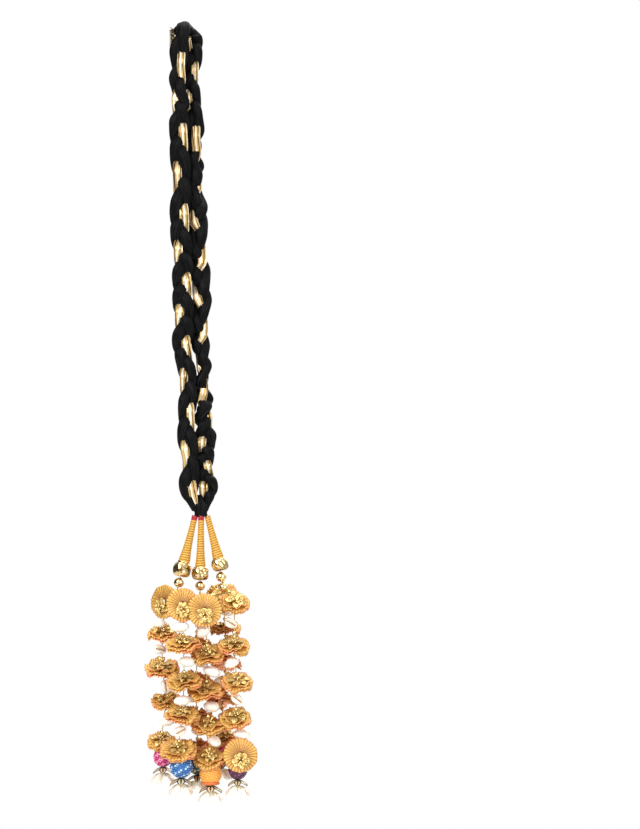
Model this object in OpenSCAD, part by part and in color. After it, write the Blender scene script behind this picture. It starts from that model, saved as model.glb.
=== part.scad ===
// A paranda, the tassel that is plaited into the end of a long braid of hair.
// One long plait of two black thread bundles and a gold ribbon is folded in half.
// Its two legs are tied together, and three thread wound cones hang from the tie.
// Each cone carries two strings of ribbon rosettes, gold beads and cowrie shells.
// The origin is under the fold, where the plait hangs. Z is up and -Y is the front.

/* [Plait] */
// Width of a flat bundle of thread
bundle_w = 8; // [6:0.1:8]
// Depth of a flat bundle of thread
bundle_d = 4.3; // [3:0.1:4.3]
// How far a bundle swings to either side of the middle of its leg
swing_w = 5.5; // [5.4:0.1:6]
// How far a bundle swings to the front and to the back
swing_d = 3.3; // [3.3:0.1:3.6]
// Radius of the fold at the top, to the middle of the plait
fold_r = 7.4; // [7.2:0.1:9]
// Distance along a leg from the top of the fold to the tie
leg_run = 480; // [470:1:490]

/* [Tie and cones] */
// Height of the black neck that holds the two legs
tie_h = 13.6; // [10:0.2:16]
// Radius at the top of a wound cone
cone_tip_r = 2.9; // [2.4:0.1:3]
// Radius at the foot of a wound cone
cone_foot_r = 5.2; // [4.5:0.1:5.4]
// Length of the red whipping at the top of a cone
red_tip_h = 3.4; // [2:0.2:5]

/* [Tassel] */
// Diameter of a string of the tassel
string_d = 1; // [0.8:0.1:1.2]
// Diameter of a small gold bead
small_bead_d = 3.8; // [3.4:0.1:4]
// Number of pleats in a rosette
pleats = 16; // [10:1:18]
// Height of the pleats at the rim of a rosette
pleat_h = 2.6; // [1.6:0.2:3.2]
// Thickness of a rosette's ribbon
ribbon_t = 1.1; // [1:0.1:1.4]
// Radius of the small flower on a rosette
petal_flower_r = 9.5; // [7:0.5:10.5]
// Width of a cowrie shell across its lips
cowrie_w = 10.4; // [9:0.2:10.6]

/* [Hidden] */

black = "#1a1a1c";
string_brown = "#8a6a30";
gold = "#d9b060";
ribbon_gold = "#f0cf80";
silk_yellow = "#e8a820";
red = "#c8202a";
rosette_gold = "#d9973f";
ivory = "#fffaf0";
leaf_gold = "#8a6a30";

// The smallest gap kept between two pieces
gap = 0.2;
// Half the depth of the plait, at the middle of a leg
plait_half_d = bundle_d / 2 + swing_d;
// Height of the middle of the fold's bend, so that the fold's underside is at 0
fold_z = plait_half_d - fold_r;
// Distance along the plait over a quarter of a turn of the fold
fold_run = fold_r * PI / 2;
// Height of the tie's top and foot, the foot being where the tassel's falls start
tie_top_z = fold_z - (leg_run - fold_run) - gap;
tassel_z = tie_top_z - tie_h;

// The legs, from the top of the fold down
// Columns: distance along the plait, place across, distance from the middle, size
RUN = 0;
ACROSS = 1;
DEPTH = 2;
SIZE = 3;
LEFT_LEG = [
    [0, -3.5, 7.4, 0.95], [12, -5, 7.4, 0.97], [43, -6.5, 7, 0.92], [75, -6.2, 6.6, 0.98],
    [112, -7, 5.6, 1.03], [160, -5.2, 5, 1.02], [194, -6.5, 5, 1.08], [226, -4.8, 5, 1.05],
    [260, -3.4, 5, 1.1], [300, -3.4, 5, 1.06], [323, -2.8, 5, 1.1], [343, 1, 5, 1],
    [370, 1.6, 4.6, 0.95], [392, 0.8, 4, 0.82], [408, 0.5, 4, 0.92], [422, 1.5, 4, 0.98],
    [437, 4, 4, 0.82], [457, 3.3, 4, 1], [467, 4.6, 3.6, 0.92], [474, 7.2, 3, 0.72],
    [480, 9.4, 2.4, 0.54]
];
RIGHT_LEG = [
    [0, -3.5, 7.4, 0.95], [12, 2.4, 7.4, 0.95], [22, 5.6, 7.2, 0.93], [48, 5.5, 7, 0.93],
    [75, 5.4, 6.6, 0.92], [88, 7.6, 6, 0.92], [105, 9.4, 5.6, 0.94], [120, 10.6, 5.4, 0.95],
    [140, 9.6, 5, 0.9], [160, 10, 5, 0.92], [177, 11.4, 5, 1], [197, 12.8, 5, 1],
    [217, 12.6, 5, 0.98], [240, 14.8, 5, 1.06], [262, 14.4, 5, 1.02], [277, 15.6, 5, 1.06],
    [288, 14.2, 5, 0.98], [303, 15.2, 5, 0.95], [327, 14.8, 5, 0.9], [343, 16.4, 5, 0.88],
    [358, 16.2, 4.6, 0.86], [370, 17.4, 4.4, 0.82], [388, 18.6, 4, 0.95], [408, 19.4, 4, 1],
    [418, 19.6, 4, 1.03], [428, 19.2, 4, 0.95], [438, 18.6, 4, 0.82], [456, 21.4, 4, 1.04],
    [468, 21.8, 3.6, 0.98], [474, 20.6, 3, 0.76], [480, 19, 2.4, 0.54]
];
// How far the ribbon has turned on its round of the plait, at distances along a leg
// It shows at the right at 60 degrees past each full turn, and at the left at 240
LEFT_TURNS = [
    [-115, 0], [60, 43], [420, 112], [780, 194], [1140, 260], [1500, 323], [1860, 392],
    [2220, 471], [2260, 480]
];
RIGHT_TURNS = [
    [-65, 0], [60, 48], [240, 76], [420, 115], [630, 155], [840, 195], [1020, 235],
    [1200, 272], [1380, 309], [1560, 342], [1680, 369], [1850, 389], [2040, 420],
    [2220, 444], [2400, 466], [2470, 480]
];
// How far the whole leg is twisted, at distances along it
LEFT_TWIST = [[0, 0], [480, 0]];
RIGHT_TWIST = [[0, 0], [85, 0], [195, 180], [325, 180], [410, 360]];
// Turn of the ribbon from one ring of a bundle to the next, and sides of a ring
ring_turn = 30;
bundle_sides = 8;
// How far a bundle leans with its path, as a share of the path's own slope
lean = 0.5;

// Cones: place across at the top, at the foot, and fall of the foot below the tie
LEFT_CONE = [8.8, -1.8, 44.5];
CENTRE_CONE = [15.2, 14.4, 51];
RIGHT_CONE = [21.6, 32.4, 41.5];
CONE_DEPTH = [-1, -2, 0];
// The side of a cone: share of its length, share of the way from tip to foot radius
CONE_SIDE = [[0, 0], [0.28, 0.12], [0.5, 0.3], [0.74, 0.55], [0.94, 0.95], [1, 1]];

// Cap beads at the cones' feet: distance down the cone's own line, diameter and height
CAP_BEADS = [[54.2, 18.8, 14], [56.4, 17.6, 13.6], [49, 17.2, 13]];
// Round beads below them
// Columns: fall below the tie, place across, diameter, tilt of the bore, cone number
FALL = 0;
BORE_TILT = 3;
ROUND_BEADS = [
    [66, -7, 10.2, 14, 0], [76, -10.4, 8, 24, 0],
    [69.2, 14.2, 9.6, 0, 1],
    [60.2, 35.2, 10.2, -14, 2], [70.8, 37.4, 10.4, -8, 2]
];
round_bore_d = 3.2;
// Round beads that each string runs through, and the side of the bore that it keeps to
STRING_BEADS = [[0, 1], [0], [2], [2], [3, 4], [3, 4]];
STRING_SIDE = [0.65, -0.65, 0.65, -0.65, 0.65, -0.65];
// Where each string turns down to its first flower: fall, place across, place in depth
STRING_TURNS = [
    [82, -17, 3], [81, -3.6, -9], [84, 11.2, 13], [85, 18, -11], [77.4, 36.4, 6], [78.6, 48.4, -10.6]
];
// Flowers on each string, the string running through their middles
// Columns: fall, place across, depth, lean to the front, turn, radius, set forward
PITCH = 3;
YAW = 4;
RADIUS = 5;
FORWARD = 6;
FLOWERS = [
    [
        [85.5, -20, 4, 84, -43, 17.5, 5], [115.5, -24, 4, 20, 0, 15, 0], [150.5, -24, 4, 22, 8, 18, 0],
        [183, -20, 4, 18, -8, 16, 0], [223.5, -25, 4, 28, -12, 14.5, 0]
    ],
    [
        [88.5, -3, -12.5, 80, 6, 17, 7], [124.5, -2, -20, 16, 0, 19, 0], [161.5, -1, -20, 20, -6, 18.5, 0],
        [195, -3, -20, 18, 6, 18.5, 0], [230, -7, -20, 30, 0, 19, 0]
    ],
    [
        [90, 11, 14, 30, 0, 14, 0], [128, 10, 20, 20, 180, 16, 0], [164.5, 10, 20, 22, 190, 16, 0],
        [199.5, 10, 20, 20, 175, 16, 0], [231, 11, 20, 24, 180, 14.5, 0]
    ],
    [
        [93.5, 19, -17, 80, 4, 17.5, 6.5], [135.5, 22, -12, 27, 6, 17.5, 0], [171.5, 20.5, -12, 20, -4, 19, 0],
        [206.5, 23, -12, 18, 4, 18.5, 0], [239, 24, -12, 30, 0, 17.5, 0]
    ],
    [
        [79, 36, 11, 48, 0, 16.5, 0], [110.5, 39, 16, 12, 0, 16, 0], [146.5, 40, 18, 20, 175, 16, 0],
        [184, 36, 18, 16, 185, 16, 0], [220, 36, 18, 20, 0, 16, 0]
    ],
    [
        [84.5, 49, -10, 34, 14, 15.5, 0], [127, 48, -10, 24, 10, 16.5, 0], [163.5, 51, -10, 28, 10, 16.5, 0],
        [199.5, 50, -10, 32, 8, 16.5, 0], [238.5, 54, -10, 80, 6, 17.5, 9.5]
    ]
];
// Radius of the opening in a flower's middle, wide enough for a string at a slant
hub_r = 2.4;
// How far the small gold beads sit above and below each flower
BEAD_STEPS = [-11.6, -7.4, 5.6, 9.8];
// Cowries on each string: fall, place beside the string, tilt in view, turn, length
TILT = 2;
TURN = 3;
LENGTH = 4;
COWRIES = [
    [[107.6, -3, 20, 200, 12], [133, -2, 10, 30, 14], [170, 1.5, 80, 0, 14], [204.5, 4, 15, 180, 16]],
    [[109.5, -3.5, 5, 180, 19], [143.6, 3, -10, 180, 16], [182.6, -1.4, 5, 180, 16], [213, 0, -30, 15, 14]],
    [[109, 3, 10, 90, 16], [146.5, 3, -15, 160, 16], [182, -3, 20, 200, 16], [215.5, 2, 0, 180, 16]],
    [[114.2, -2.6, 46, 180, 16], [154, 4.5, -20, 180, 18], [189, 4, -12, 180, 16], [223, 4.5, -35, 180, 16]],
    [[95, 3, 0, 170, 15], [128.5, -2, 20, 200, 16], [165.5, -3, 10, 180, 16], [202, 3, -10, 170, 16]],
    [[106, -3.5, 30, 20, 14], [145.5, -4, 25, 180, 16], [182, 1, 40, 10, 14], [217, 4, -8, 180, 17]]
];
// Woven beads at the strings' ends: fall, place across, depth, diameter, colour
DROP_BEADS = [
    [240.8, -23, 4, 19.5, "#c0246a"], [248.3, -4, -20, 22.5, "#2f78c8"],
    [249.5, 11, 18, 20, "#2b4030"], [256.5, 25, -12, 22, "#f09030"],
    [238, 35.5, 18, 19, "#c0246a"], [252.5, 52, -10, 19, "#3a1838"]
];
SPAN = 3;
COLOUR = 4;
bead_bore_d = 2.4;
// The leaves under a woven bead, drooping by an angle
leaf_count = 6;
leaf_t = 1.2;
leaf_droop = 25;
// Three cowries hang under each woven bead, turned about the string by these angles
CLUSTER = [205, 325, 85];
cluster_tilt = 41;
cluster_reach = 3.3;
cluster_l = 15;
// Radius of the knot that the cluster hangs from
knot_r = 1;
// Depth of the bore in the tip of a hanging cowrie, and of the thread in it
tip_bore = 3.6;
thread_end = 2.8;

// The value in one column of a table, at a distance t down its first column
function column(table, c, t) = lookup(t, [for (row = table) [row[0], row[c]]]);

// A closed tube through rings that have the same number of points
module tube(rings) {
    n = len(rings[0]);
    last = (len(rings) - 1) * n;
    sides = [
        for (i = [0:len(rings) - 2], j = [0:n - 1])
            let (a = i * n + j, b = i * n + (j + 1) % n)
            each [[a, b, b + n], [a, b + n, a + n]]
    ];
    start = [[for (j = [n - 1:-1:0]) j]];
    end = [[for (j = [0:n - 1]) last + j]];
    polyhedron(points = [for (ring = rings) each ring], faces = concat(sides, start, end));
}

// A point and a pair of directions on a leg: its middle, across it, and outwards
// side is -1 for the left leg, at the front, and 1 for the right leg, behind it
function leg_middle(leg, side, run) =
    let (turned = min(90, run / fold_r * 180 / PI), x = column(leg, ACROSS, run))
    run < fold_run
        ? [x, side * fold_r * sin(turned), fold_z + fold_r * cos(turned)]
        : [x, side * column(leg, DEPTH, run), fold_z - (run - fold_run)];
function leg_outwards(side, run) =
    let (turned = min(90, run / fold_r * 180 / PI)) [0, side * sin(turned), cos(turned)];

// One ring of a bundle, an oval that leans with the figure of eight that it follows
function bundle_ring(leg, side, twist, run, turn) =
    let (
        size = column(leg, SIZE, run),
        twisted = lookup(run, twist),
        middle = leg_middle(leg, side, run),
        outwards = leg_outwards(side, run),
        across = size * swing_w * sin(turn),
        proud = -side * size * swing_d * sin(2 * turn),
        angle = atan2(-side * 2 * lean * swing_d * cos(2 * turn), swing_w * cos(turn)) - side * twisted,
        x = across * cos(twisted) + side * proud * sin(twisted),
        y = -side * across * sin(twisted) + proud * cos(twisted)
    )
    [
        for (j = [0:bundle_sides - 1])
            let (
                a = side * (j + 0.5) * 360 / bundle_sides,
                u = size * bundle_w / 2 * cos(a),
                v = size * bundle_d / 2 * sin(a)
            )
            middle + [x + u * cos(angle) - v * sin(angle), 0, 0]
                + outwards * (y + u * sin(angle) + v * cos(angle))
    ];

// A bundle of one leg, phase being its turn ahead of the ribbon
module bundle(leg, side, turns, twist, phase) {
    first = turns[0][0];
    last = turns[len(turns) - 1][0];
    steps = ceil((last - first) / ring_turn);
    rings = [
        for (i = [0:steps])
            let (turn = first + (last - first) * i / steps)
            bundle_ring(leg, side, twist, lookup(turn, turns), turn - side * phase)
    ];
    tube(rings);
}
module left_bundle(phase) {
    bundle(LEFT_LEG, -1, LEFT_TURNS, LEFT_TWIST, phase);
}
module right_bundle(phase) {
    bundle(RIGHT_LEG, 1, RIGHT_TURNS, RIGHT_TWIST, phase);
}

module left_thread_a() {
    color(black) left_bundle(120);
}
module left_thread_b() {
    color(black) left_bundle(240);
}
module left_ribbon() {
    color(ribbon_gold) left_bundle(0);
}
module right_thread_a() {
    color(black) right_bundle(120);
}
module right_thread_b() {
    color(black) right_bundle(240);
}
module right_ribbon() {
    color(ribbon_gold) right_bundle(0);
}

// The neck where both legs are gathered and bound
// Columns: share of its height, place across, half width, half depth
TIE = [
    [0, 14.2, 10.4, 5.8], [0.25, 14.3, 9, 5.6], [0.5, 14.6, 7.4, 5.4], [0.72, 14.8, 6.3, 5.2],
    [1, 15.2, 7, 4.6]
];
module tie() {
    color(black) tube([
        for (row = TIE)
            [
                for (a = [0:22.5:337.5])
                    [row[1] + row[2] * cos(a), row[3] * sin(a), tie_top_z - row[0] * tie_h]
            ]
    ]);
}

// Puts a piece at a cone's top in line with the cone, its own 0 a distance start down it
module along_cone(cone, number, start = 0) {
    drift = (cone[1] - cone[0]) / cone[2];
    translate([cone[0], CONE_DEPTH[number], tassel_z - gap])
        rotate([0, atan(-drift), 0])
            translate([0, 0, -start])
                children();
}
function cone_length(cone) = norm([cone[1] - cone[0], cone[2]]);

module wound_cone(cone, number, tip) {
    long = cone_length(cone) - tip;
    color(silk_yellow) along_cone(cone, number, tip)
        rotate_extrude($fn = 48)
            polygon(concat(
                [[0, 0]],
                [
                    for (p = CONE_SIDE)
                        [cone_tip_r + p[1] * (cone_foot_r - cone_tip_r), -p[0] * long]
                ],
                [[0, -long]]
            ));
}
module red_tip(cone, number) {
    color(red) along_cone(cone, number)
        translate([0, 0, -red_tip_h + gap])
            cylinder(h = red_tip_h - gap, r = cone_tip_r + 0.05, $fn = 48);
}
module red_tip_left() {
    red_tip(LEFT_CONE, 0);
}
module red_tip_centre() {
    red_tip(CENTRE_CONE, 1);
}
module cone_left() {
    wound_cone(LEFT_CONE, 0, red_tip_h);
}
module cone_centre() {
    wound_cone(CENTRE_CONE, 1, red_tip_h);
}
module cone_right() {
    wound_cone(RIGHT_CONE, 2, 0);
}

// A squat bead with a seat in its top for the cone's foot and a bore for the strings
module cap_bead(cone, number) {
    bead = CAP_BEADS[number];
    r = bead[1] / 2;
    h = bead[2] / 2;
    seat_r = cone_foot_r + gap;
    seat_z = bead[0] - cone_length(cone) - gap;
    color(gold) along_cone(cone, number, bead[0])
        rotate_extrude($fn = 64)
            polygon([
                [round_bore_d / 2, -h], [0.56 * r, -h], [0.84 * r, -0.66 * h], [r, -0.22 * h],
                [r, 0.22 * h], [0.86 * r, 0.66 * h], [0.7 * r, h], [seat_r, h],
                [seat_r, seat_z], [round_bore_d / 2, seat_z]
            ]);
}
module cap_bead_left() {
    cap_bead(LEFT_CONE, 0);
}
module cap_bead_centre() {
    cap_bead(CENTRE_CONE, 1);
}
module cap_bead_right() {
    cap_bead(RIGHT_CONE, 2);
}

// A drilled round bead with its bore along Z
module drilled_bead(d, bore) {
    difference() {
        sphere(d = d, $fn = 32);
        cylinder(h = d + 2, d = bore, center = true, $fn = 24);
    }
}
module round_beads(number) {
    color(gold) for (bead = ROUND_BEADS)
        if (bead[4] == number)
            translate([bead[1], CONE_DEPTH[number], tassel_z - bead[FALL]])
                rotate([0, bead[BORE_TILT], 0])
                    drilled_bead(bead[2], round_bore_d);
}
module round_beads_left() {
    round_beads(0);
}
module round_beads_centre() {
    round_beads(1);
}
module round_beads_right() {
    round_beads(2);
}

// A string goes straight through each round bead, so it has a point above and below it
function through(bead, side) = [
    for (way = [-1, 1])
        let (reach = way * (bead[2] / 2 + 0.6))
        [
            bead[FALL] + reach * cos(bead[BORE_TILT]),
            bead[1] - reach * sin(bead[BORE_TILT]),
            CONE_DEPTH[bead[4]] + side
        ]
];
// The whole way of a string: its round beads, its flowers and its woven bead
function string_way(s) =
    let (drop = DROP_BEADS[s])
    concat(
        [for (b = STRING_BEADS[s]) each through(ROUND_BEADS[b], STRING_SIDE[s])],
        [STRING_TURNS[s]],
        [for (flower = FLOWERS[s]) [for (c = [0:2]) flower[c]]],
        [[drop[FALL] - drop[SPAN] / 2 - 0.4, drop[1], drop[2]]]
    );
function string_point(s, fall) =
    let (way = string_way(s)) [column(way, 1, fall), column(way, 2, fall), tassel_z - fall];
// Fall of the knot where the string ends, under the woven bead's leaves
function knot_fall(s) = DROP_BEADS[s][FALL] + DROP_BEADS[s][SPAN] / 2 + leaf_t + 2.4;

// Puts a piece that hangs down from 0 in line with one cowrie of a cluster
module in_cluster(angle) {
    rotate([0, 0, angle])
        rotate([0, -cluster_tilt, 0])
            children();
}
module string(s) {
    drop = DROP_BEADS[s];
    foot = [knot_fall(s) - 1.2, drop[1], drop[2]];
    color(string_brown) tube([
        for (p = concat(string_way(s), [foot]))
            [
                for (a = [0:60:300])
                    [p[1] + string_d / 2 * cos(a), p[2] + string_d / 2 * sin(a), tassel_z - p[FALL]]
            ]
    ]);
    color(string_brown) translate([drop[1], drop[2], tassel_z - knot_fall(s)]) {
        rotate_extrude($fn = 24)
            polygon([
                [0, -knot_r], [0.7 * knot_r, -0.7 * knot_r], [knot_r, 0],
                [0.7 * knot_r, 0.7 * knot_r], [0, knot_r]
            ]);
        for (angle = CLUSTER)
            in_cluster(angle)
                translate([0, 0, -cluster_reach - thread_end])
                    cylinder(h = cluster_reach + thread_end, d = 0.9, $fn = 16);
    }
}
module string_1() {
    string(0);
}
module string_2() {
    string(1);
}
module string_3() {
    string(2);
}
module string_4() {
    string(3);
}
module string_5() {
    string(4);
}
module string_6() {
    string(5);
}

// A round fan of pleated ribbon with an open middle and a sharp rim, facing up
module rosette(r) {
    n = 2 * pleats;
    top = [
        for (i = [0:n - 1]) [hub_r * cos(i * 360 / n), hub_r * sin(i * 360 / n), ribbon_t / 2],
        for (i = [0:n - 1])
            let (z = (i % 2 - 0.5) * pleat_h)
            [r * cos(i * 360 / n), r * sin(i * 360 / n), z]
    ];
    foot = [for (i = [0:n - 1]) top[i] - [0, 0, ribbon_t]];
    faces = [
        for (i = [0:n - 1])
            let (k = (i + 1) % n)
            each [
                [i, k, i + n], [k, k + n, i + n],
                [i + 2 * n, i + n, k + 2 * n], [k + 2 * n, i + n, k + n],
                [i, k + 2 * n, k], [i, i + 2 * n, k + 2 * n]
            ]
    ];
    polyhedron(points = concat(top, foot), faces = faces);
}

// A flat flower of five round petals with an open middle
module petal_flower() {
    petal_r = petal_flower_r * 0.38;
    difference() {
        union() {
            cylinder(h = 1.2, r = petal_flower_r * 0.42, $fn = 32);
            for (i = [0:4])
                rotate([0, 0, i * 72 + 18])
                    translate([petal_flower_r - petal_r, 0, 0])
                        cylinder(h = 1.2, r = petal_r, $fn = 32);
        }
        cylinder(h = 4, r = hub_r, center = true, $fn = 24);
    }
}
module flowers(s) {
    for (flower = FLOWERS[s])
        translate([flower[1], flower[2], tassel_z - flower[FALL]])
            rotate([0, 0, flower[YAW]])
                rotate([flower[PITCH], 0, 0])
                    translate([0, 0, flower[FORWARD] - 1]) {
                        color(rosette_gold) rosette(flower[RADIUS]);
                        color(gold) translate([0, 0, ribbon_t / 2 + 1.3]) petal_flower();
                    }
}
module flowers_1() {
    flowers(0);
}
module flowers_2() {
    flowers(1);
}
module flowers_3() {
    flowers(2);
}
module flowers_4() {
    flowers(3);
}
module flowers_5() {
    flowers(4);
}
module flowers_6() {
    flowers(5);
}

// Whether a small bead has room on its string beside the cowries and the woven bead
function has_room(s, fall) =
    let (
        r = small_bead_d / 2 + gap,
        drop = DROP_BEADS[s],
        clashes = [
            for (shell = COWRIES[s])
                let (tilt = abs(shell[TILT]))
                let (half = min(cowrie_w / 2 / cos(tilt), shell[LENGTH] / 2 / max(0.1, sin(tilt))))
                if (abs(fall - shell[FALL]) < half + r) shell
        ]
    )
    len(clashes) == 0 && fall < drop[FALL] - drop[SPAN] / 2 - r;
module gold_beads(s) {
    color(gold) for (i = [0:len(FLOWERS[s]) - 1], step = BEAD_STEPS)
        let (fall = FLOWERS[s][i][FALL] + step)
            if ((i > 0 || step > 0) && has_room(s, fall))
                translate(string_point(s, fall))
                    drilled_bead(small_bead_d, string_d + 0.8);
}
module gold_beads_1() {
    gold_beads(0);
}
module gold_beads_2() {
    gold_beads(1);
}
module gold_beads_3() {
    gold_beads(2);
}
module gold_beads_4() {
    gold_beads(3);
}
module gold_beads_5() {
    gold_beads(4);
}
module gold_beads_6() {
    gold_beads(5);
}

// A cowrie shell along X, egg shaped, with its slit in a flat face at the front
// bore is the diameter of a blind hole in its narrow end, or 0
module cowrie(l, bore = 0) {
    r = min(cowrie_w, 0.72 * l) / 2;
    difference() {
        rotate([0, 90, 0])
            rotate_extrude($fn = 32)
                polygon(concat(
                    [
                        [0, -0.5 * l], [0.4 * r, -0.47 * l], [0.8 * r, -0.3 * l], [r, -0.04 * l],
                        [0.92 * r, 0.18 * l], [0.62 * r, 0.38 * l], [0.26 * r, 0.48 * l]
                    ],
                    bore > 0
                        ? [[bore / 2, 0.49 * l], [bore / 2, 0.5 * l - tip_bore], [0, 0.5 * l - tip_bore]]
                        : [[0, 0.5 * l]]
                ));
        translate([-l, -cowrie_w, -cowrie_w])
            cube([2 * l, cowrie_w - 0.5 * r, 2 * cowrie_w]);
        translate([-0.38 * l, -0.5 * r - 1, -0.5])
            cube([0.76 * l, 2.6, 1]);
    }
}
module cowries(s) {
    bead = DROP_BEADS[s];
    color(ivory) for (shell = COWRIES[s])
        difference() {
            translate(string_point(s, shell[FALL]) + [shell[1], 0, 0])
                rotate([0, shell[TILT], shell[TURN]])
                    cowrie(shell[LENGTH]);
            translate(string_point(s, shell[FALL]))
                cylinder(h = 2 * cowrie_w, d = string_d + 1.8, center = true, $fn = 24);
        }
    color(ivory) for (angle = CLUSTER)
        translate([bead[1], bead[2], tassel_z - knot_fall(s)])
            in_cluster(angle)
                translate([0, 0, -cluster_reach - cluster_l / 2])
                    rotate([0, -90, 0])
                        rotate([90, 0, 0])
                            cowrie(cluster_l, 1.6);
}
module cowries_1() {
    cowries(0);
}
module cowries_2() {
    cowries(1);
}
module cowries_3() {
    cowries(2);
}
module cowries_4() {
    cowries(3);
}
module cowries_5() {
    cowries(4);
}
module cowries_6() {
    cowries(5);
}

module drop_bead(s) {
    bead = DROP_BEADS[s];
    color(bead[COLOUR]) translate([bead[1], bead[2], tassel_z - bead[FALL]])
        drilled_bead(bead[SPAN], bead_bore_d);
}
module drop_bead_1() {
    drop_bead(0);
}
module drop_bead_2() {
    drop_bead(1);
}
module drop_bead_3() {
    drop_bead(2);
}
module drop_bead_4() {
    drop_bead(3);
}
module drop_bead_5() {
    drop_bead(4);
}
module drop_bead_6() {
    drop_bead(5);
}

// A cap of pointed leaves under a woven bead
module leaf_cap(s) {
    drop = DROP_BEADS[s];
    r = drop[SPAN] / 2;
    color(leaf_gold) translate([drop[1], drop[2], tassel_z - drop[FALL] - r - gap - leaf_t])
        difference() {
            union() {
                cylinder(h = leaf_t, r = 0.36 * r, $fn = 32);
                for (i = [0:leaf_count - 1])
                    rotate([0, 0, (i + 0.5) * 360 / leaf_count])
                        rotate([0, leaf_droop, 0])
                            linear_extrude(leaf_t)
                                polygon([
                                    [0.2 * r, -0.12 * r], [0.7 * r, -0.3 * r], [1.22 * r, 0],
                                    [0.7 * r, 0.3 * r], [0.2 * r, 0.12 * r]
                                ]);
            }
            cylinder(h = 6 * leaf_t, d = bead_bore_d, center = true, $fn = 24);
        }
}
module leaf_cap_1() {
    leaf_cap(0);
}
module leaf_cap_2() {
    leaf_cap(1);
}
module leaf_cap_3() {
    leaf_cap(2);
}
module leaf_cap_4() {
    leaf_cap(3);
}
module leaf_cap_5() {
    leaf_cap(4);
}
module leaf_cap_6() {
    leaf_cap(5);
}

left_thread_a();
left_thread_b();
left_ribbon();
right_thread_a();
right_thread_b();
right_ribbon();
tie();
red_tip_left();
red_tip_centre();
cone_left();
cone_centre();
cone_right();
cap_bead_left();
cap_bead_centre();
cap_bead_right();
round_beads_left();
round_beads_centre();
round_beads_right();
string_1();
string_2();
string_3();
string_4();
string_5();
string_6();
flowers_1();
flowers_2();
flowers_3();
flowers_4();
flowers_5();
flowers_6();
gold_beads_1();
gold_beads_2();
gold_beads_3();
gold_beads_4();
gold_beads_5();
gold_beads_6();
cowries_1();
cowries_2();
cowries_3();
cowries_4();
cowries_5();
cowries_6();
drop_bead_1();
drop_bead_2();
drop_bead_3();
drop_bead_4();
drop_bead_5();
drop_bead_6();
leaf_cap_1();
leaf_cap_2();
leaf_cap_3();
leaf_cap_4();
leaf_cap_5();
leaf_cap_6();
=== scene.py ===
"""Looks of a paranda, the tassel that is plaited into the end of a long braid of hair.

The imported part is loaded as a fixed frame, and each operator below dresses one group of its pieces.
Shapes are worked out in millimetres, with Z up and -Y to the front, and stored in metres.
"""

import math
from functools import partial

import bpy
import numpy as np
from bpy.props import FloatProperty, FloatVectorProperty, IntProperty, PointerProperty
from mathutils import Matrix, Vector


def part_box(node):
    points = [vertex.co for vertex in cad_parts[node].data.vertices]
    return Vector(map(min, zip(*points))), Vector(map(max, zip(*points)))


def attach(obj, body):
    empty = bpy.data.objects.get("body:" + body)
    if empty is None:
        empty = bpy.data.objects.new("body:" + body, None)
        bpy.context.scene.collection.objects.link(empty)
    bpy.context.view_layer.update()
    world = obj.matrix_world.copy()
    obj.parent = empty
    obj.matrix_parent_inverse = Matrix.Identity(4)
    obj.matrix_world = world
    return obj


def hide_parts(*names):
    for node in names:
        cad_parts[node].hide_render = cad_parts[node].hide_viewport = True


bl_info = {
    "name": "Paranda tassel",
    "version": (1, 0, 0),
    "blender": (4, 5, 0),
    "location": "View3D > Sidebar > Paranda",
    "description": "Dresses a plaited hair tassel with thread, ribbon flowers, beads and shells",
    "category": "Add Mesh",
}

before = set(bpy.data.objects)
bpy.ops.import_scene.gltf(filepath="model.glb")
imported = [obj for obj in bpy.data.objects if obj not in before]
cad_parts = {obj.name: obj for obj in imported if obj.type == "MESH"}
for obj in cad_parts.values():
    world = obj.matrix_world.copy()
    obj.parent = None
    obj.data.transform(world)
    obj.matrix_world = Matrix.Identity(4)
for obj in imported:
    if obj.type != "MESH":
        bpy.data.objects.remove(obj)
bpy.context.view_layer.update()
BODY = "root"
MM = 0.001
TAU = 2 * math.pi


def node_box(node):
    """Lowest and highest corner of a node of the frame, in millimetres."""
    low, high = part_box(node)
    return np.array(low) / MM, np.array(high) / MM


# Settings that the sidebar shows


def length(name, description, default, low, high):
    """A length that is given here in millimetres and held in metres, as Blender's lengths are."""
    return FloatProperty(
        name=name, description=description, default=default * MM, min=low * MM, max=high * MM,
        precision=5, unit="LENGTH",
    )


def whole_number(name, description, default, low, high):
    """A whole number that the sidebar shows."""
    return IntProperty(name=name, description=description, default=default, min=low, max=high)


def srgb(code):
    """A hex colour such as 1a2b3c as linear light, by the sRGB curve, with an alpha of 1."""
    parts = [int(code[i : i + 2], 16) / 255 for i in (0, 2, 4)]
    linear = [c / 12.92 if c <= 0.04045 else ((c + 0.055) / 1.055) ** 2.4 for c in parts]
    return (*linear, 1.0)


def colour(name, description, code):
    """A colour that the sidebar shows, given here as a hex value."""
    return FloatVectorProperty(
        name=name, description=description, default=srgb(code), size=4, subtype="COLOR", min=0, max=1
    )


class ParandaPlaitSettings(bpy.types.PropertyGroup):
    """Sizes and colours of the plait."""

    thread_w: length("Bundle width", "Width of a bundle of thread", 12.0, 6, 16)
    thread_d: length("Bundle depth", "Depth of a bundle of thread", 9.4, 3, 12)
    ribbon_w: length("Ribbon width", "Width of the folded gold ribbon", 8.4, 5, 12)
    ribbon_d: length("Ribbon depth", "Depth of the folded gold ribbon", 3.2, 2, 6)
    yarns: whole_number("Yarns", "Yarns that show round a bundle", 19, 5, 30)
    black: colour("Black thread", "Colour of the silky black thread", "050506")
    gold: colour("Gold ribbon", "Colour of the metallic ribbon in the plait", "cdaa6c")


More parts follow.
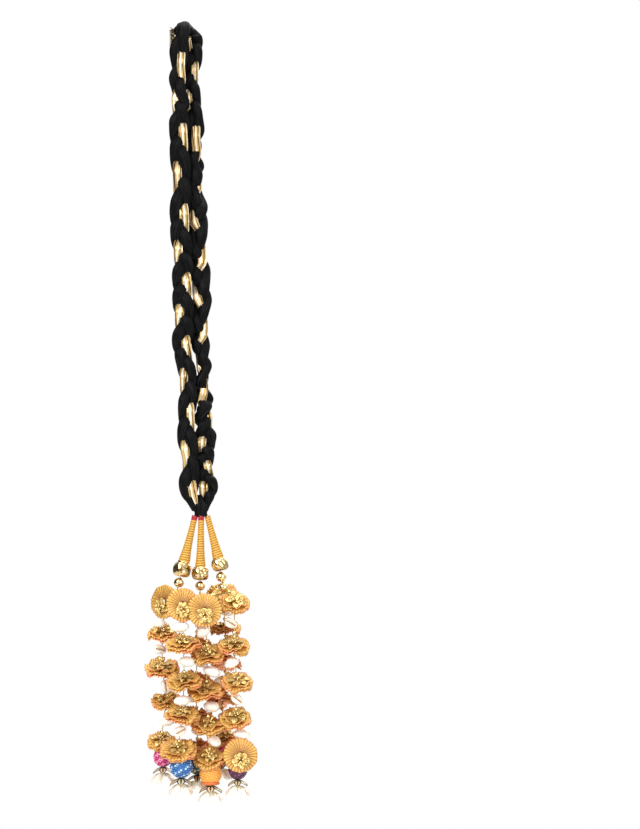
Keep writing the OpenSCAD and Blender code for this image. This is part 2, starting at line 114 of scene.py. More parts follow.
class ParandaNeckSettings(bpy.types.PropertyGroup):
    """Winding and colours of the neck and the cones."""

    wind_pitch: length("Winding pitch", "Distance from one turn of thread to the next", 2.4, 0.8, 3)
    wind_relief: length("Winding relief", "Height of a turn of thread", 0.5, 0, 1)
    yellow: colour("Yellow thread", "Colour of the thread wound on the cones", "d2961c")
    red: colour("Red thread", "Colour of the whipping at the cones' tops", "c4202a")


class ParandaStringSettings(bpy.types.PropertyGroup):
    """Size and colour of the strings and size of their small beads."""

    string_d: length("String thickness", "Diameter of a string", 1.0, 0.5, 2)
    small_d: length("Small bead", "Diameter of a small gold bead", 3.8, 2.5, 4.5)
    string: colour("String", "Colour of the strings", "d8b468")


class ParandaBeadSettings(bpy.types.PropertyGroup):
    """Ribs and colour of the gold beads."""

    flutes: whole_number("Flutes", "Slanting ribs round a large bead", 5, 5, 24)
    flute_depth: length("Flute depth", "Depth of the grooves of a large bead", 0.8, 0, 2)
    gold: colour("Plated gold", "Colour of the plated beads", "f3dca4")


class ParandaFlowerSettings(bpy.types.PropertyGroup):
    """Sizes and colours of the rosettes and their petals."""

    pleats: whole_number("Pleats", "Pleats round a rosette", 31, 12, 48)
    pleat_h: length("Pleat height", "Height of the pleats at the rim", 1.4, 0.5, 4)
    ribbon_t: length("Ribbon thickness", "Thickness of the pleated ribbon", 0.5, 0.2, 1.5)
    petals: whole_number("Petals", "Petals round the small flower", 8, 4, 12)
    ribbon: colour("Rosette ribbon", "Colour of the pleated ribbon", "dcae58")
    # The crease colour is painted shade between two pleats.
    crease: colour("Rosette creases", "Colour between two pleats", "cc963c")
    edge: colour("Rosette edge", "Colour of the ribbon's selvedge and underside", "f0a068")
    petal: colour("Petals", "Colour of the looped petals", "e0ba5a")


class ParandaShellSettings(bpy.types.PropertyGroup):
    """Teeth and colours of the cowries."""

    teeth: whole_number("Teeth", "Teeth along each lip of a cowrie", 11, 6, 16)
    ivory: colour("Shell", "Colour of the cowries", "fffaf1")
    # The slit and the gaps between the teeth are given this colour as painted shade.
    painted_shade: colour("Shell stain", "Colour between a cowrie's teeth and in its slit", "b98a56")


class ParandaDropSettings(bpy.types.PropertyGroup):
    """Weave of the woven beads and colour of their caps."""

    knots: whole_number("Knots", "Knots of the weave round a woven bead", 24, 10, 40)
    knot_h: length("Knot height", "Height of a knot of the weave", 0.7, 0, 1.5)
    leaf: colour("Leaf cap", "Colour of the antique gold leaves", "f6e8bc")


class ParandaStageSettings(bpy.types.PropertyGroup):
    """Camera distance and floor."""

    distance: length("Camera distance", "Distance from the camera to the tassel", 4000, 1000, 9000)
    floor_z: length("Floor height", "Height of the floor", -1250, -3000, 0)
    floor_r: length("Floor radius", "Radius of the round floor", 4000, 500, 20000)


# Surfaces as arrays

# Numbers that a surface may hold for each of its points, which its material reads
FIELDS = ("depth", "knot")


def grid(points, size):
    """A surface from rings of points, an array of shape (rings, points of a ring, 3).

    Face (i, j) joins points (i, j), (i, j+1), (i+1, j+1) and (i+1, j), the last point of a ring
    being joined to its first. A corner's map coordinate is its share of the way round and of the
    rings, times size.
    """
    rows, cols = points.shape[:2]
    i, j = np.meshgrid(np.arange(rows - 1), np.arange(cols), indexing="ij")
    k = (j + 1) % cols
    loops = np.stack([i * cols + j, i * cols + k, (i + 1) * cols + k, (i + 1) * cols + j], -1)
    across = np.stack([j, j + 1, j + 1, j], -1) / cols * size[0]
    down = np.stack([i, i, i + 1, i + 1], -1) / (rows - 1) * size[1]
    return {
        "points": points.reshape(-1, 3),
        "loops": loops.reshape(-1),
        "counts": np.full(loops.shape[0] * loops.shape[1], 4),
        "map": np.stack([across, down], -1).reshape(-1, 2),
    }


def closed_tube(points, size=(1.0, 1.0)):
    """A grid of rings whose first and last rings are each closed by one face."""
    rows, cols = points.shape[:2]
    shape = grid(points, size)
    ring = np.arange(cols)
    shape["loops"] = np.concatenate([shape["loops"], ring[::-1], (rows - 1) * cols + ring])
    shape["counts"] = np.concatenate([shape["counts"], [cols, cols]])
    shape["map"] = np.concatenate([shape["map"], np.zeros((2 * cols, 2))])
    return shape


def join(shapes):
    """Several surfaces as one, their corner numbers moved up by the points before them."""
    starts = np.cumsum([0] + [len(s["points"]) for s in shapes[:-1]])
    whole = {key: np.concatenate([s[key] for s in shapes]) for key in ("points", "counts", "map")}
    whole["loops"] = np.concatenate([s["loops"] + n for s, n in zip(shapes, starts)])
    whole["skin"] = np.concatenate([s.get("skin", 0 * s["counts"]) for s in shapes])
    for field in FIELDS:
        whole[field] = np.concatenate([s.get(field, np.zeros(len(s["points"]))) for s in shapes])
    return whole


def skinned(shape, number):
    """The surface with all its faces in the material of that number."""
    return {**shape, "skin": np.full(len(shape["counts"]), number)}


def moved(shape, turn, place):
    """The surface with its points turned by a 3 by 3 matrix and then moved to place."""
    return {**shape, "points": shape["points"] @ np.asarray(turn).T + np.asarray(place)}


def placed(shape, place):
    """The surface with its points moved to place."""
    return {**shape, "points": shape["points"] + np.asarray(place)}


def flipped(shape):
    """The surface with its faces turned round, each run of corners read backwards."""
    ends = np.cumsum(shape["counts"])
    starts = np.repeat(ends - shape["counts"], shape["counts"])
    back = starts + np.repeat(ends, shape["counts"]) - 1 - np.arange(len(shape["loops"]))
    return {**shape, "loops": shape["loops"][back], "map": shape["map"][back]}


def turned(*steps):
    """The matrix of turns about X, Y or Z by the right-hand rule, the last one named made first."""
    matrix = np.eye(3)
    for axis, degrees in steps:
        a = math.radians(degrees)
        i, j = {"X": (1, 2), "Y": (2, 0), "Z": (0, 1)}[axis]
        turn = np.eye(3)
        turn[i, i] = turn[j, j] = math.cos(a)
        turn[i, j], turn[j, i] = -math.sin(a), math.sin(a)
        matrix = matrix @ turn
    return matrix


def table_at(table, column, where):
    """A column of a table at distances down its first column, on a smooth curve.

    Each span is the cubic that meets the rows with slopes taken from their neighbours.
    """
    rows = np.array(table, float)
    x, y = rows[:, 0], rows[:, column]
    slope = np.gradient(y, x)
    where = np.clip(where, x[0], x[-1])
    k = np.clip(np.searchsorted(x, where) - 1, 0, len(x) - 2)
    h = x[k + 1] - x[k]
    t = (where - x[k]) / h
    return (
        (2 * t**3 - 3 * t**2 + 1) * y[k]
        + (t**3 - 2 * t**2 + t) * h * slope[k]
        + (3 * t**2 - 2 * t**3) * y[k + 1]
        + (t**3 - t**2) * h * slope[k + 1]
    )


def tube(path, radius, sides):
    """A round tube along a path of shape (n, 3): rings square to the path's direction.

    Each ring lies in the plane of two directions across the path, worked out from one fixed helper.
    """
    path = np.asarray(path, float)
    along = np.gradient(path, axis=0)
    along /= np.linalg.norm(along, axis=1)[:, None]
    helper = np.array([0.31, 0.95, 0.08])
    first = np.cross(along, helper)
    first /= np.linalg.norm(first, axis=1)[:, None]
    second = np.cross(along, first)
    a = np.arange(sides) * TAU / sides
    ring = np.cos(a)[:, None, None] * first + np.sin(a)[:, None, None] * second
    return closed_tube(path[:, None] + radius * ring.transpose(1, 0, 2))


def ring_solid(points, size=(1.0, 1.0)):
    """A grid of points that closes on itself both ways, as the skin of a ring does."""
    shape = grid(np.concatenate([points, points[:1]]), size)
    last = points.shape[0] * points.shape[1]
    shape["loops"] = shape["loops"] % last
    shape["points"] = shape["points"][:last]
    return shape


def lathe(profile, sides, size=(1.0, 1.0), ripple=None):
    """A closed profile of (radius, height) turned round Z into a ring-shaped solid.

    ripple(angle, height, radius) returns the share by which a radius grows there.
    """
    r, z = np.asarray(profile, float).T[:, :, None]
    a = np.arange(sides) * TAU / sides
    grow = 1 if ripple is None else 1 + ripple(a[None, :], z, r)
    return ring_solid(np.stack([r * grow * np.cos(a), r * grow * np.sin(a), z + 0 * a], -1), size)


def ball(d, bore, sides, rings):
    """A drilled ball: an arc from the bore's top mouth to its foot mouth, closed by the bore."""
    r = d / 2
    mouth = math.asin(min(0.95, bore / d))
    a = np.linspace(mouth, math.pi - mouth, rings)
    arc = np.stack([r * np.sin(a), r * np.cos(a)], -1)
    return flipped(lathe(arc, sides))


# Materials

# A wave texture's bands are this far apart at scale 1
WAVE_GAP = TAU / 20


def add_node(tree, kind, inputs=None, stops=(), **settings):
    """Adds a shader node of a kind, with its settings, and gives its inputs values or links.

    An input is named or numbered, and a name means the first input in use that has it. A node given
    as a value stands for its first output in use. stops are the places and colours of a colour ramp.
    """
    node = tree.nodes.new(f"ShaderNode{kind}")
    for key, value in settings.items():
        setattr(node, key, value)
    for i, (place, tint) in enumerate(stops):
        elements = node.color_ramp.elements
        stop = elements[i] if i < len(elements) else elements.new(place)
        stop.position, stop.color = place, tint
    for key, value in (inputs or {}).items():
        named = (i for i in node.inputs if i.name == key and i.enabled)
        socket = node.inputs[key] if isinstance(key, int) else next(named)
        if isinstance(value, bpy.types.Node):
            value = next(i for i in value.outputs if i.enabled)
        if isinstance(value, bpy.types.NodeSocket):
            tree.links.new(value, socket)
        else:
            socket.default_value = value
    return node


def new_material(name):
    """A material whose node tree is still empty, and add_node for that tree."""
    material = bpy.data.materials.new(name)
    material.use_nodes = True
    material.node_tree.nodes.clear()
    return material, partial(add_node, material.node_tree)


def darker(code, share):
    """A colour with its light cut to a share."""
    return (*[c * share for c in code[:3]], 1.0)


def black_silk():
    """Black viscose thread, loosely twisted: deep black with soft grey lines of sheen along it.

    The lines are 0.9 mm apart, wider than real yarns, which are too fine to show.
    """
    base = bpy.context.scene.paranda_plait.black
    material, add = new_material("Black viscose thread")
    place = add("UVMap", uv_map="surface")
    along = add("Mapping", {"Vector": place, "Scale": (1 / 0.9, 1 / 20, 1)})
    yarns = add("TexNoise", {"Vector": along, "Scale": 1.0, "Detail": 3.0})
    lit = add("ValToRGB", {"Fac": yarns}, [(0.45, base), (0.75, srgb("1e1e20"))])
    relief = add("Bump", {"Height": yarns, "Distance": 0.3 * MM})
    shader = add("BsdfPrincipled", {
        "Base Color": lit, "Normal": relief, "Roughness": 0.5, "Specular IOR Level": 0.07,
    })
    add("OutputMaterial", {"Surface": shader})
    return material


def metallised_ribbon():
    """Metallised polyester ribbon, folded lengthwise, with light painted into its colour: a painted cream
    glint down the middle of each fold, gold beside it, and painted dark brown shade where two folds meet.

    The folds are 3.8 mm apart and wander with a slow noise, 4 mm wide and 50 mm long.
    """
    gold = bpy.context.scene.paranda_plait.gold
    cream, brown = srgb("fff2d6"), srgb("3c2610")
    material, add = new_material("Metallised gold ribbon")
    place = add("UVMap", uv_map="surface")
    along = add("Mapping", {"Vector": place, "Scale": (1 / 4, 1 / 50, 1)})
    slow = add("TexNoise", {"Vector": along, "Scale": 1.0, "Detail": 1.0})
    sway = add("Math", {0: slow, 1: 1.4}, operation="MULTIPLY")
    across = add("SeparateXYZ", {"Vector": place}).outputs["X"]
    folds = add("Math", {0: across, 1: 1 / 3.8, 2: sway}, operation="MULTIPLY_ADD")
    share = add("Math", {0: folds}, operation="FRACT")
    # The cream is a painted glint on each fold and the brown is painted shade where two folds meet.
    lit = add("ValToRGB", {"Fac": share}, [
        (0.0, brown), (0.05, brown), (0.12, gold), (0.34, gold), (0.4, cream), (0.6, cream),
        (0.66, gold), (0.84, gold), (0.93, brown),
    ])
    relief = add("Bump", {"Height": share, "Distance": 0.3 * MM})
    shader = add("BsdfPrincipled", {"Base Color": lit, "Normal": relief, "Metallic": 0.5, "Roughness": 0.3})
    add("OutputMaterial", {"Surface": shader})
    return material


def wound_silk(name, base, glint, deep):
    """Glossy embroidery thread wound in turns: a painted satin glint on each turn, and painted shade in a
    deep colour between them.

    The turns are two to four times as wide as real thread, which is too fine to show. The map's second
    number counts turns, and the strands within a turn are a ninth of it wide.
    """
    material, add = new_material(name)
    place = add("UVMap", uv_map="surface")
    turns = add("SeparateXYZ", {"Vector": place}).outputs["Y"]
    phase = add("Math", {0: turns, 1: math.pi}, operation="MULTIPLY")
    wave = add("Math", {0: phase}, operation="SINE")
    round_turn = add("Math", {0: wave}, operation="ABSOLUTE")
    along = add("Mapping", {"Vector": place, "Scale": (0.6, 9, 1)})
    strands = add("TexNoise", {"Vector": along, "Scale": 1.0, "Detail": 2.0})
    # Painted highlight: the strands lighten towards the glint colour.
    top = add("ValToRGB", {"Fac": strands}, [(0.3, base), (0.7, glint)])
    out = add("MapRange", {"Value": round_turn, "From Min": 0.15, "From Max": 0.85})
    # Painted shade: the deep colour fills the grooves between the turns.
    lit = add("Mix", {"Factor": out, "A": deep, "B": top}, data_type="RGBA")
    relief = add("Bump", {"Height": strands, "Distance": 0.12 * MM, "Strength": 0.7})
    shader = add("BsdfPrincipled", {
        "Base Color": lit, "Normal": relief, "Roughness": 0.38, "Sheen Weight": 0.3,
        "Sheen Roughness": 0.35, "Specular IOR Level": 0.55,
    })
    add("OutputMaterial", {"Surface": shader})
    return material


def plated_gold(name, roughness, gold, worn, patch):
    """Vacuum plated plastic: a mirror of pale gold, browner where the plating is worn thin.

    Worn patches are patch millimetres across, and soft dents 5.5 mm across bend the reflections.
    """
    material, add = new_material(name)
    place = add("TexCoord").outputs["Object"]
    noise = add("TexNoise", {"Vector": place, "Scale": 1 / (patch * MM), "Detail": 3.0})
    lit = add("ValToRGB", {"Fac": noise}, [(0.5, gold), (0.68, worn)])
    dents = add("TexNoise", {"Vector": place, "Scale": 1 / (5.5 * MM), "Detail": 1.0})
    relief = add("Bump", {"Height": dents, "Distance": 0.5 * MM, "Strength": 0.3})
    shader = add("BsdfPrincipled", {
        "Base Color": lit, "Normal": relief, "Metallic": 1.0, "Roughness": roughness,
    })
    add("OutputMaterial", {"Surface": shader})
    return material


def small_gold():
    """The plating of the small beads on the strings and in the flowers, made once."""
    name = "Small plated bead"
    return bpy.data.materials.get(name) or plated_gold(
        name, 0.16, bpy.context.scene.paranda_beads.gold, srgb("8f6a2c"), 2.4
    )


def cotton_string():
    """Twisted cotton string, golden brown and matt, with slanting plies 1 mm apart."""
    base = bpy.context.scene.paranda_strings.string
    material, add = new_material("Twisted cotton string")
    place = add("TexCoord").outputs["Object"]
    scale = WAVE_GAP / (1.0 * MM)
    ply = add("TexWave", {"Vector": place, "Scale": scale}, bands_direction="DIAGONAL").outputs["Fac"]
    # Painted shade: the colour is half as bright in the grooves between the plies.
    lit = add("ValToRGB", {"Fac": ply}, [(0.0, darker(base, 0.5)), (1.0, base)])
    relief = add("Bump", {"Height": ply, "Distance": 0.15 * MM})
    shader = add("BsdfPrincipled", {"Base Color": lit, "Normal": relief, "Roughness": 0.8})
    add("OutputMaterial", {"Surface": shader})
    return material


def rosette_ribbon():
    """Metallic satin ribbon, pressed into pleats: light gold ridges as painted light, brown creases near the
    hub as painted shade.

    The map's first number counts pleats. Its second runs from 0 at the hub over the top to about a
    half at the rim, and back below.
    The attribute depth says where the ribbon is coral, along its selvedge and below, and the
    attribute knot gives each pleat a shade of its own, random, with painted shade added on a flower that
    faces the viewer and painted light on the others. Cross threads show at about 0.7 mm.
    """
    s = bpy.context.scene.paranda_flowers
    material, add = new_material("Pleated metallic satin")
    place = add("UVMap", uv_map="surface")
    parts = add("SeparateXYZ", {"Vector": place})
    phase = add("Math", {0: parts.outputs["X"], 1: TAU}, operation="MULTIPLY")
    ridge = add("Math", {0: phase}, operation="SINE")
    shade = add("Attribute", attribute_name="knot").outputs["Fac"]
    outwards = parts.outputs["Y"]
    shaded = add("Math", {0: shade, 1: 0.6, 2: ridge}, operation="MULTIPLY_ADD")
    total = add("Math", {0: outwards, 1: 1.1, 2: shaded}, operation="MULTIPLY_ADD")
    height = add("MapRange", {"Value": total, "From Min": -0.4, "From Max": 0.55})
    # Painted light and shade: ridges are coloured lighter and creases darker, most of all near the hub, on
    # the gold and on the coral alike.
    browns = [(0.05, srgb("5a3210")), (0.3, srgb("b47a32")), (0.8, s.crease)]
    crease = add("ValToRGB", {"Fac": outwards}, browns)
    golds = [(0.06, srgb("c98e48")), (0.35, s.ribbon), (0.9, srgb("e8c278"))]
    crest = add("ValToRGB", {"Fac": outwards}, golds)
    gold = add("Mix", {"Factor": height, "A": crease, "B": crest}, data_type="RGBA")
    coral = add("ValToRGB", {"Fac": height}, [(0, darker(s.edge, 0.7)), (1, s.edge)])
    rim = add("Attribute", attribute_name="depth").outputs["Fac"]
    lit = add("Mix", {"Factor": rim, "A": gold, "B": coral}, data_type="RGBA")
    woven = {"Vector": place, "Scale": 14.0, "Distortion": 1.0}
    threads = add("TexWave", woven, bands_direction="Y").outputs["Fac"]
    relief = add("Bump", {"Height": threads, "Distance": 0.05 * MM, "Strength": 0.5})
    shader = add("BsdfPrincipled", {"Base Color": lit, "Normal": relief, "Metallic": 0.2, "Roughness": 0.38})
    add("OutputMaterial", {"Surface": shader})
    return material


def petal_foil():
    """Gold foil ribbon folded into petals: pale gold on its folds, brown gold between them.

    The attribute depth is the light of a fold, and creases 3 mm apart break it up.
    """
    base = bpy.context.scene.paranda_flowers.petal
    material, add = new_material("Folded gold foil ribbon")
    place = add("TexCoord").outputs["Object"]
    noise = add("TexNoise", {"Vector": place, "Scale": 1 / (3.0 * MM), "Detail": 2.0})
    fold = add("Attribute", attribute_name="depth").outputs["Fac"]
    total = add("Math", {0: fold, 1: noise}, operation="ADD")
    light = add("MapRange", {"Value": total, "From Min": 0.5, "From Max": 1.4})
    lit = add("ValToRGB", {"Fac": light}, [(0.0, srgb("a0702a")), (0.35, base), (1.0, srgb("f8e4a4"))])
    relief = add("Bump", {"Height": noise, "Distance": 0.2 * MM, "Strength": 0.6})
    shader = add("BsdfPrincipled", {"Base Color": lit, "Normal": relief, "Metallic": 0.4, "Roughness": 0.34})
    add("OutputMaterial", {"Surface": shader})
    return material


def cowrie_shell():
    """Polished cowrie shell: porcelain gloss, ivory white, and tan in the slit and between the teeth as
    painted shade.

    Light goes 2 mm into the shell. Faint clouds on its back are 8 mm across.
    """
    s = bpy.context.scene.paranda_shells
    material, add = new_material("Polished cowrie shell")
    place = add("TexCoord").outputs["Object"]
    clouds = add("TexNoise", {"Vector": place, "Scale": 1 / (8.0 * MM), "Detail": 3.0})
    shell = add("ValToRGB", {"Fac": clouds}, [(0.45, s.ivory), (0.8, srgb("f3dfc0"))])
    slit = add("Attribute", attribute_name="depth").outputs["Fac"]
    # Painted shade: the tan colour goes where the slit and the gaps between the teeth sink in.
    lit = add("Mix", {"Factor": slit, "A": shell, "B": s.painted_shade}, data_type="RGBA")
    shader = add("BsdfPrincipled", {
        "Base Color": lit, "Roughness": 0.22, "Coat Weight": 0.4, "Coat Roughness": 0.08,
        "Subsurface Weight": 0.3, "Subsurface Radius": (1.0, 0.7, 0.5), "Subsurface Scale": 2 * MM,
    })
    add("OutputMaterial", {"Surface": shader})
    return material


# Colours of the woven beads: name, ground, deep ground, which is painted shade between the knots,
# fleck, share of knots that are flecks, and whether the flecks lie in slanting rows
WEAVES = [
    ("pink", "d0307a", "7a0f44", "f8a4c4", 0.3, True),
    ("blue", "2a74be", "0c2a50", "c4d6e0", 0.27, True),
    ("green", "24382a", "0c140e", "d8cf9a", 0.2, True),
    ("orange", "fbb04c", "e08a2a", "3a2410", 0.03, False),
    ("pink", "d0307a", "7a0f44", "f8a4c4", 0.3, True),
    ("purple", "5a2448", "1e0a1c", "8a4a74", 0.2, True),
]


def knotted_thread(number):
    """Glossy thread knotted over a ball: a deep colour between the knots as painted shade, some of them pale
    flecks.

    The attribute knot is a number for each knot, a fleck's being below the weave's share, and depth
    is the height. Strands are 0.7 mm apart, wider than real thread, which is too fine to show.
    """
    name, ground, deep, fleck, share, _ = WEAVES[number]
    material, add = new_material(f"Knotted {name} thread {number + 1}")
    knot = add("Attribute", attribute_name="knot").outputs["Fac"]
    height = add("Attribute", attribute_name="depth").outputs["Fac"]
    # Painted shade: the thread goes to its deep colour where it sinks between the knots.
    plain = add("ValToRGB", {"Fac": height}, [(0.0, srgb(deep)), (0.7, srgb(ground))])
    pale = add("ValToRGB", {"Fac": height}, [(0.1, srgb(ground)), (0.7, srgb(fleck))])
    is_fleck = add("Math", {0: knot, 1: share}, operation="LESS_THAN")
    lit = add("Mix", {"Factor": is_fleck, "A": plain, "B": pale}, data_type="RGBA")
    place = add("TexCoord").outputs["Object"]
    strands = add("TexNoise", {"Vector": place, "Scale": 1 / (0.7 * MM), "Detail": 1.0})
    relief = add("Bump", {"Height": strands, "Distance": 0.12 * MM, "Strength": 0.6})
    shader = add("BsdfPrincipled", {
        "Base Color": lit, "Normal": relief, "Roughness": 0.4, "Sheen Weight": 0.25,
        "Sheen Roughness": 0.4,
    })
    add("OutputMaterial", {"Surface": shader})
    return material


def antique_brass():
    """Stamped sheet brass, darkened along the rim and midrib of each leaf and rubbed pale between.

    The attribute depth is 0 on the raised lines and 1 between them.
    """
    base = bpy.context.scene.paranda_drops.leaf
    material, add = new_material("Antiqued sheet brass")
    height = add("Attribute", attribute_name="depth").outputs["Fac"]
    lit = add("ValToRGB", {"Fac": height}, [(0.0, srgb("2c2012")), (0.5, srgb("6a4c22")), (0.9, base)])
    place = add("TexCoord").outputs["Object"]
    dents = add("TexNoise", {"Vector": place, "Scale": 1 / (2.5 * MM), "Detail": 2.0})
    relief = add("Bump", {"Height": dents, "Distance": 0.15 * MM, "Strength": 0.5})
    shader = add("BsdfPrincipled", {"Base Color": lit, "Normal": relief, "Metallic": 0.25, "Roughness": 0.38})
    add("OutputMaterial", {"Surface": shader})
    return material


def studio_paper():
    """Matt white background paper, which gives the floor no pattern of its own but a faint grain
    of 4 mm."""
    material, add = new_material("White studio paper")
    place = add("TexCoord").outputs["Object"]
    grain = add("TexNoise", {"Vector": place, "Scale": 1 / (4.0 * MM)})
    lit = add("ValToRGB", {"Fac": grain}, [(0.3, srgb("f2f2f1")), (0.7, srgb("f6f6f6"))])
    shader = add("BsdfPrincipled", {"Base Color": lit, "Roughness": 0.9})
    add("OutputMaterial", {"Surface": shader})
    return material


# Pieces


def piece(name, shape, materials, nodes):
    """Makes one mesh object from a surface, gives it its materials and ties it to the frame."""
    mesh = bpy.data.meshes.new(name)
    mesh.vertices.add(len(shape["points"]))
    mesh.vertices.foreach_set("co", (shape["points"] * MM).astype(np.float32).reshape(-1))
    mesh.loops.add(len(shape["loops"]))
    mesh.loops.foreach_set("vertex_index", shape["loops"].astype(np.int32))
    starts = np.concatenate([[0], np.cumsum(shape["counts"])[:-1]]).astype(np.int32)
    mesh.polygons.add(len(starts))
    mesh.polygons.foreach_set("loop_start", starts)
    skin = shape.get("skin", 0 * starts)
    mesh.polygons.foreach_set("material_index", skin.astype(np.int32))
    mesh.polygons.foreach_set("use_smooth", shape["counts"] <= 4)
    layer = mesh.uv_layers.new(name="surface")
    layer.uv.foreach_set("vector", shape["map"].astype(np.float32).reshape(-1))
    for field in FIELDS:
        if field in shape:
            attribute = mesh.attributes.new(field, "FLOAT", "POINT")
            attribute.data.foreach_set("value", shape[field].astype(np.float32))
    mesh.update(calc_edges=True)
    mesh.validate()
    for material in materials:
        mesh.materials.append(material)
    thing = bpy.data.objects.new(name, mesh)
    bpy.context.scene.collection.objects.link(thing)
    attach(thing, BODY)
    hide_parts(*nodes)


# The plait. Each leg has rows of distance along it, place across, distance from the middle, size

LEFT_LEG = [
    (0, -2.6, 7.4, 1.25), (12, -4.8, 7.4, 1.06), (43, -6.8, 7, 0.94), (75, -6.6, 6.6, 0.98),
    (112, -6.1, 5.6, 1.06), (160, -4.8, 5, 1.06), (194, -5.2, 5, 1.12), (226, -4, 5, 1.08),
    (260, -2.6, 5, 1.12), (300, -2.8, 5, 1.08), (323, -2.9, 5, 1.08), (343, 0.6, 5, 0.98),
    (370, 1.6, 4.6, 0.99), (392, 1.6, 4, 0.96), (408, 1.6, 4, 1.04), (422, 2.2, 4, 1.06),
    (437, 4, 4, 0.96), (457, 3.2, 4, 1.06), (467, 3.8, 3.6, 1), (474, 5.2, 3, 0.88),
    (480, 7.6, 2.4, 0.6), (487, 10.5, 2, 0.42),
]
RIGHT_LEG = [
    (0, -2.6, 7.4, 1.25), (5, 2, 7.4, 1.24), (12, 5, 7.4, 1.2), (22, 6.3, 7.2, 1.08), (48, 5.5, 7, 0.93),
    (75, 5.4, 6.6, 0.96), (88, 7.3, 6, 0.96), (105, 7.8, 5.6, 1.02), (120, 8.6, 5.4, 1.04),
    (140, 9, 5, 1), (160, 9.4, 5, 1), (177, 10.2, 5, 1.08), (197, 10.9, 5, 1.1),
    (217, 11.6, 5, 1.07), (240, 13.6, 5, 1.12), (262, 13.8, 5, 1.06), (277, 14.8, 5, 1.1),
    (288, 13.8, 5, 1.02), (303, 14.6, 5, 0.98), (327, 14.8, 5, 0.9), (343, 16.6, 5, 0.88),
    (358, 16, 4.6, 0.98), (370, 17, 4.4, 1.06), (388, 18.2, 4, 1.1), (408, 19.4, 4, 1.08),
    (418, 19, 4, 1.08), (428, 18.6, 4, 1.03), (438, 18, 4, 0.98), (456, 20.6, 4, 1.1),
    (468, 21, 3.6, 1.04), (474, 20, 3, 0.88), (480, 19, 2.4, 0.6), (487, 17.6, 2, 0.42),
]
# Turn of the ribbon on its round of the plait, in degrees, and the distance along the leg there
LEFT_TURNS = [
    (-115, 0), (60, 43), (420, 112), (780, 194), (1140, 260), (1500, 323), (1860, 392),
    (2220, 471), (2260, 480), (2290, 487),
]
RIGHT_TURNS = [
    (-240, 0), (-120, 18), (60, 48), (240, 76), (420, 115), (630, 155), (840, 195), (1020, 235),
    (1200, 272), (1380, 309), (1560, 342), (1700, 369), (1830, 389), (2030, 420),
    (2220, 444), (2400, 466), (2470, 480), (2500, 487),
]
# Twist of the whole leg at distances along it
LEFT_TWIST = [(0, 20), (43, 32), (78, 36), (108, 0), (480, 0)]
RIGHT_TWIST = [(0, 0), (85, 0), (195, 180), (315, 180), (425, 360)]
LEFT, RIGHT = -1, 1
LEGS = {
    LEFT: (LEFT_LEG, LEFT_TURNS, LEFT_TWIST),
    RIGHT: (RIGHT_LEG, RIGHT_TURNS, RIGHT_TWIST),
}
# Driving sizes of the plait, as in the part
SWING_D, FOLD_R, BUNDLE_D = 3.3, 7.4, 4.3
# The scene's bundles are fuller than the part's, so their bend is set a little lower
FOLD_Z = BUNDLE_D / 2 + SWING_D - FOLD_R - 1.4
# Turn of the ribbon from one ring of a strand to the next, in degrees
TURN_STEP = 8.5
# How far a strand swings across and outwards in the scene
BUNDLE_SWING, RIBBON_SWING = (3.9, 3.0), (3.3, 3.6)
# How far the ribbon is set to the front at the fold, 18 mm down and from 36 mm down
RIBBON_FORWARD = {LEFT: (0, 0.5, 1.8), RIGHT: (0, 9, 1.8)}
# Number of frayed fibres at the fold
FIBRES = 200


